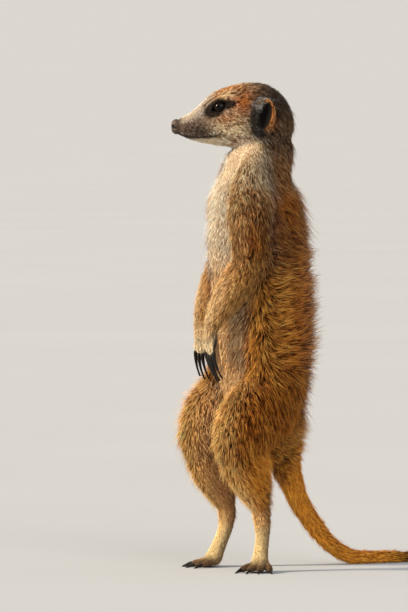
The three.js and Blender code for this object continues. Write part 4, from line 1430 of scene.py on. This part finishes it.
def eyeball(sign, around=64, along=56):
    """c + r (cos t out + sin t (cos f back + sin f up)), with r = R + swell (1 - (t / edge)^2) over the iris."""
    out, back, up = eye_axes(sign)
    t = np.linspace(0, np.pi, along)[:, None]
    f = 2 * np.pi * np.arange(around) / around
    r = EYE_RADIUS + IRIS_SWELL * np.clip(1 - (t / IRIS_EDGE) ** 2, 0, 1)
    ring = np.cos(f)[..., None] * back + np.sin(f)[..., None] * up
    rings = mirrored(EYE_CENTRE, sign) + (r * np.cos(t))[..., None] * out + (r * np.sin(t))[..., None] * ring
    points, faces = closed_grid(rings)
    return points, faces, np.concatenate([[0.0], np.repeat(t[1:-1, 0], around), [np.pi]])


for side, sign in (("left", 1), ("right", -1)):
    points, faces, off = eyeball(sign)
    ball = made_piece("eyeball_" + side, turned(points, HEAD_TURN), faces, eye_finish, off_gaze=off)
    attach(ball, "root")
    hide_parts("eye_" + side)
print("eyeballs of", len(points), "points")

# %% [markdown]
# ## Nose
# The nose pad is bare, dark and finely pebbled, with a comma-shaped nostril at each side and a groove below.
# It is an ellipsoid pushed in by bells: one deep bell and one shallow slit for each nostril.

# %% Nose pad
NOSE_SIZE = np.array([4.4, 3.6, 4.7])
NOSTRILS = [((3.0, -53.0, 274.4), (1.3, 1.2, 1.0), 2.0), ((4.2, -51.3, 273.5), (1.0, 1.5, 0.6), 1.3)]
BLUNT_FROM, BLUNTNESS = 2.5, 0.45


def nose_pad(around=96, along=72):
    """c + (a sin p cos q, -b cos p, h sin p sin q), less the nostrils along each point's own direction."""
    p = np.linspace(0, np.pi, along)[:, None]
    q = 2 * np.pi * np.arange(around) / around
    rings = NOSE_CENTRE + np.stack([np.sin(p) * np.cos(q), -np.cos(p) + 0 * q, np.sin(p) * np.sin(q)], -1) * NOSE_SIZE
    x, z = rings[..., 0], rings[..., 2]
    both_sides = np.concatenate([np.abs(rings[..., :1]), rings[..., 1:]], -1)
    push = sum(depth * bell(both_sides, at, size) for at, size, depth in NOSTRILS)
    push = push + 0.45 * np.exp(-((x / 0.4) ** 2)) * ramp(-z, -273.6, -272)
    inward = unit(np.stack([np.sign(x) * 0.8, 0 * push - 0.6, 0.15 + 0 * push], -1))
    rings = rings - push[..., None] * inward
    rings[..., 1] += BLUNTNESS * np.clip(NOSE_CENTRE[1] - BLUNT_FROM - rings[..., 1], 0, None)
    return (*closed_grid(rings), np.concatenate([push[0, :1], push[1:-1].ravel(), push[-1, :1]]))


nose_finish, wire = finish_named("bare_nose", Roughness=0.5, Specular_IOR_Level=0.3, Coat_Weight=0.1,
                                 Coat_Roughness=0.3)
horny = wire.grain(500.0, Detail=3.0).step(0.3, 0.75).mixed("2a201c", "54443c")
# painted shade: the deeper the pad is pushed in, at the nostrils and the groove below, the nearer to black
wire.kept("hollow", 2).step(0.3, 1.1).mixed(horny, "060404").feed("Base Color")
wire.grain(2200.0, "TexVoronoi").bumped(0.9, 0.00025)
points, faces, push = nose_pad()
pad = made_piece("nose_pad", turned(points, HEAD_TURN), faces, nose_finish, hollow=push)
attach(pad, "root")
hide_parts("nose")
print("nose pad of", len(points), "points")

# %% [markdown]
# ## Claws
# The digging claws of the hands are 15 mm long and nearly black; those of the feet are short. Each is a curved
# horn that tapers to its point, with fine ridges along it. The four of a paw are one piece.

# %% Claw pieces
claw_finish, wire = finish_named("claw_horn", Roughness=0.35, Specular_IOR_Level=0.2, Coat_Weight=0.05,
                                 Coat_Roughness=0.2)
ridges = wire.grain(3000.0, stretch=(1.0, 1.0, 0.12), Detail=2.0)
ridges.step(0.3, 0.8).mixed("080606", "261c14").feed("Base Color")
ridges.bumped(0.3, 0.0001)
for paw in ("hand_left", "hand_right", "foot_left", "foot_right"):
    names = [f"{paw}_{i}" for i in range(1, 5)]
    points, faces = joined([(CLAWS[n].points, CLAWS[n].faces) for n in names])
    points[:, 2] = np.maximum(points[:, 2], 0.05)
    claws = made_piece("claws_" + paw, points, faces, claw_finish)
    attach(claws, "root")
    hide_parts(*("claw_" + n for n in names))
print("claws made from", len(CLAWS), "horns")

# %% [markdown]
# ## Whiskers
# Thin dark whiskers grow in rows from the sides of the muzzle, with a few above the eye. They are locks like the
# others, only longer and finer.

# %% Whiskers
WHISKER_LIFT, WHISKER_WIDTH = 6.0, 0.16
whisker_finish, wire = finish_named("whisker", Roughness=0.45)
wire.grain(300.0).step(0.35, 0.7).mixed("1c1411", "4a3a30").feed("Base Color")
rows = []
for sign in (1, -1):
    for i in range(11):
        row, column = divmod(i, 3)
        ahead = 46 - 1.1 * row - 2.4 * column
        rows.append(((sign * (6.0 + 0.3 * (46 - ahead)), -ahead, 275.2 - 1.7 * row),
                     (sign * (0.55 + 0.1 * column), 0.85, -0.28 - 0.05 * row), 10 + 2.0 * (i % 4)))
    rows += [((sign * 11.6, -24 + 1.5 * i, 293.5 - 0.3 * i), (sign * 0.6, 0.5, 0.75), 7 + i) for i in range(3)]
starts, ways, longs = (np.array(column, float) for column in zip(*rows))
starts, ways, one = turned(starts, HEAD_TURN), unit(turned(ways, HEAD_TURN)), np.ones(len(rows))
hairs = locks(starts, unit([0, 0, 1.0] - ways[:, 2:] * ways), ways, longs, WHISKER_LIFT * one, WHISKER_WIDTH * one)
whiskers = made_piece("whiskers", hairs.reshape(-1, 3), lock_faces(len(rows)), whisker_finish)
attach(whiskers, "root")
print(len(rows), "whiskers")

# %% [markdown]
# ## Floor, light and camera
# A plain pale floor, a large warm soft light from the side that the animal looks to, a weaker and paler one from
# the camera's side and a pale sky give the coat form without hard shadows. The camera looks slightly down from
# just above the head, far enough away that nothing is foreshortened.

# %% Floor
FLOOR_REACH = 60.0
floor_finish, wire = finish_named("pale_floor", Roughness=0.85, Specular_IOR_Level=0.0)
wire.grain(3.0, Detail=3.0).mixed("a3a8b3", "a8aeb8").feed("Base Color")
floor_mesh = bpy.data.meshes.new("floor")
floor_mesh.from_pydata([(x * FLOOR_REACH, y * FLOOR_REACH, 0) for x, y in ((-1, -1), (1, -1), (1, 1), (-1, 1))], [],
                       [(0, 1, 2, 3)])
floor_mesh.materials.append(floor_finish)
piece_from("floor", floor_mesh)

# %% Lights
VIEW_FROM = math.radians(60)   # the camera stands this far round towards the animal's left side
RIGHT = np.array([math.cos(VIEW_FROM), math.sin(VIEW_FROM), 0])
AWAY = np.array([-math.sin(VIEW_FROM), math.cos(VIEW_FROM), 0])


def distant_light(name, right, away, up, softness, strength, shade):
    """A far light that shines from a direction given in the camera's own directions; softness in degrees."""
    lamp = bpy.data.lights.new(name, "SUN")
    lamp.angle, lamp.energy, lamp.color = math.radians(softness), strength, shade
    light = bpy.data.objects.new(name, lamp)
    shines = -Vector(RIGHT * right + AWAY * away + np.array([0, 0, up]))
    light.rotation_euler = shines.to_track_quat("-Z", "Y").to_euler()
    bpy.context.scene.collection.objects.link(light)


distant_light("key", -1.0, -0.20, 0.46, 10, 7.6, (1.0, 0.83, 0.58))
distant_light("fill", 0.35, -1.0, 0.50, 40, 1.25, (1.0, 0.93, 0.84))
sky = bpy.data.worlds.new("studio")
sky.use_nodes = True
sky.node_tree.nodes["Background"].inputs["Color"].default_value = (0.95, 0.90, 0.83, 1)
sky.node_tree.nodes["Background"].inputs["Strength"].default_value = 0.75
bpy.context.scene.world = sky
bpy.context.scene.view_settings.view_transform = "Standard"

# %% Camera
DISTANCE, EYE_LEVEL, SIDE_STEP, PITCH = 4000.0, 323.6, -33.5, math.radians(2.3)
lens = bpy.data.cameras.new("camera")
lens.lens, lens.sensor_width, lens.clip_end = 379.5, 36.0, 100.0
camera = bpy.data.objects.new("camera", lens)
camera.location = Vector(placed(-AWAY * DISTANCE + RIGHT * SIDE_STEP + np.array([0, 0, EYE_LEVEL])))
look = Vector(AWAY * math.cos(PITCH) - np.array([0, 0, math.sin(PITCH)]))
camera.rotation_euler = look.to_track_quat("-Z", "Y").to_euler()
bpy.context.scene.collection.objects.link(camera)
bpy.context.scene.camera = camera
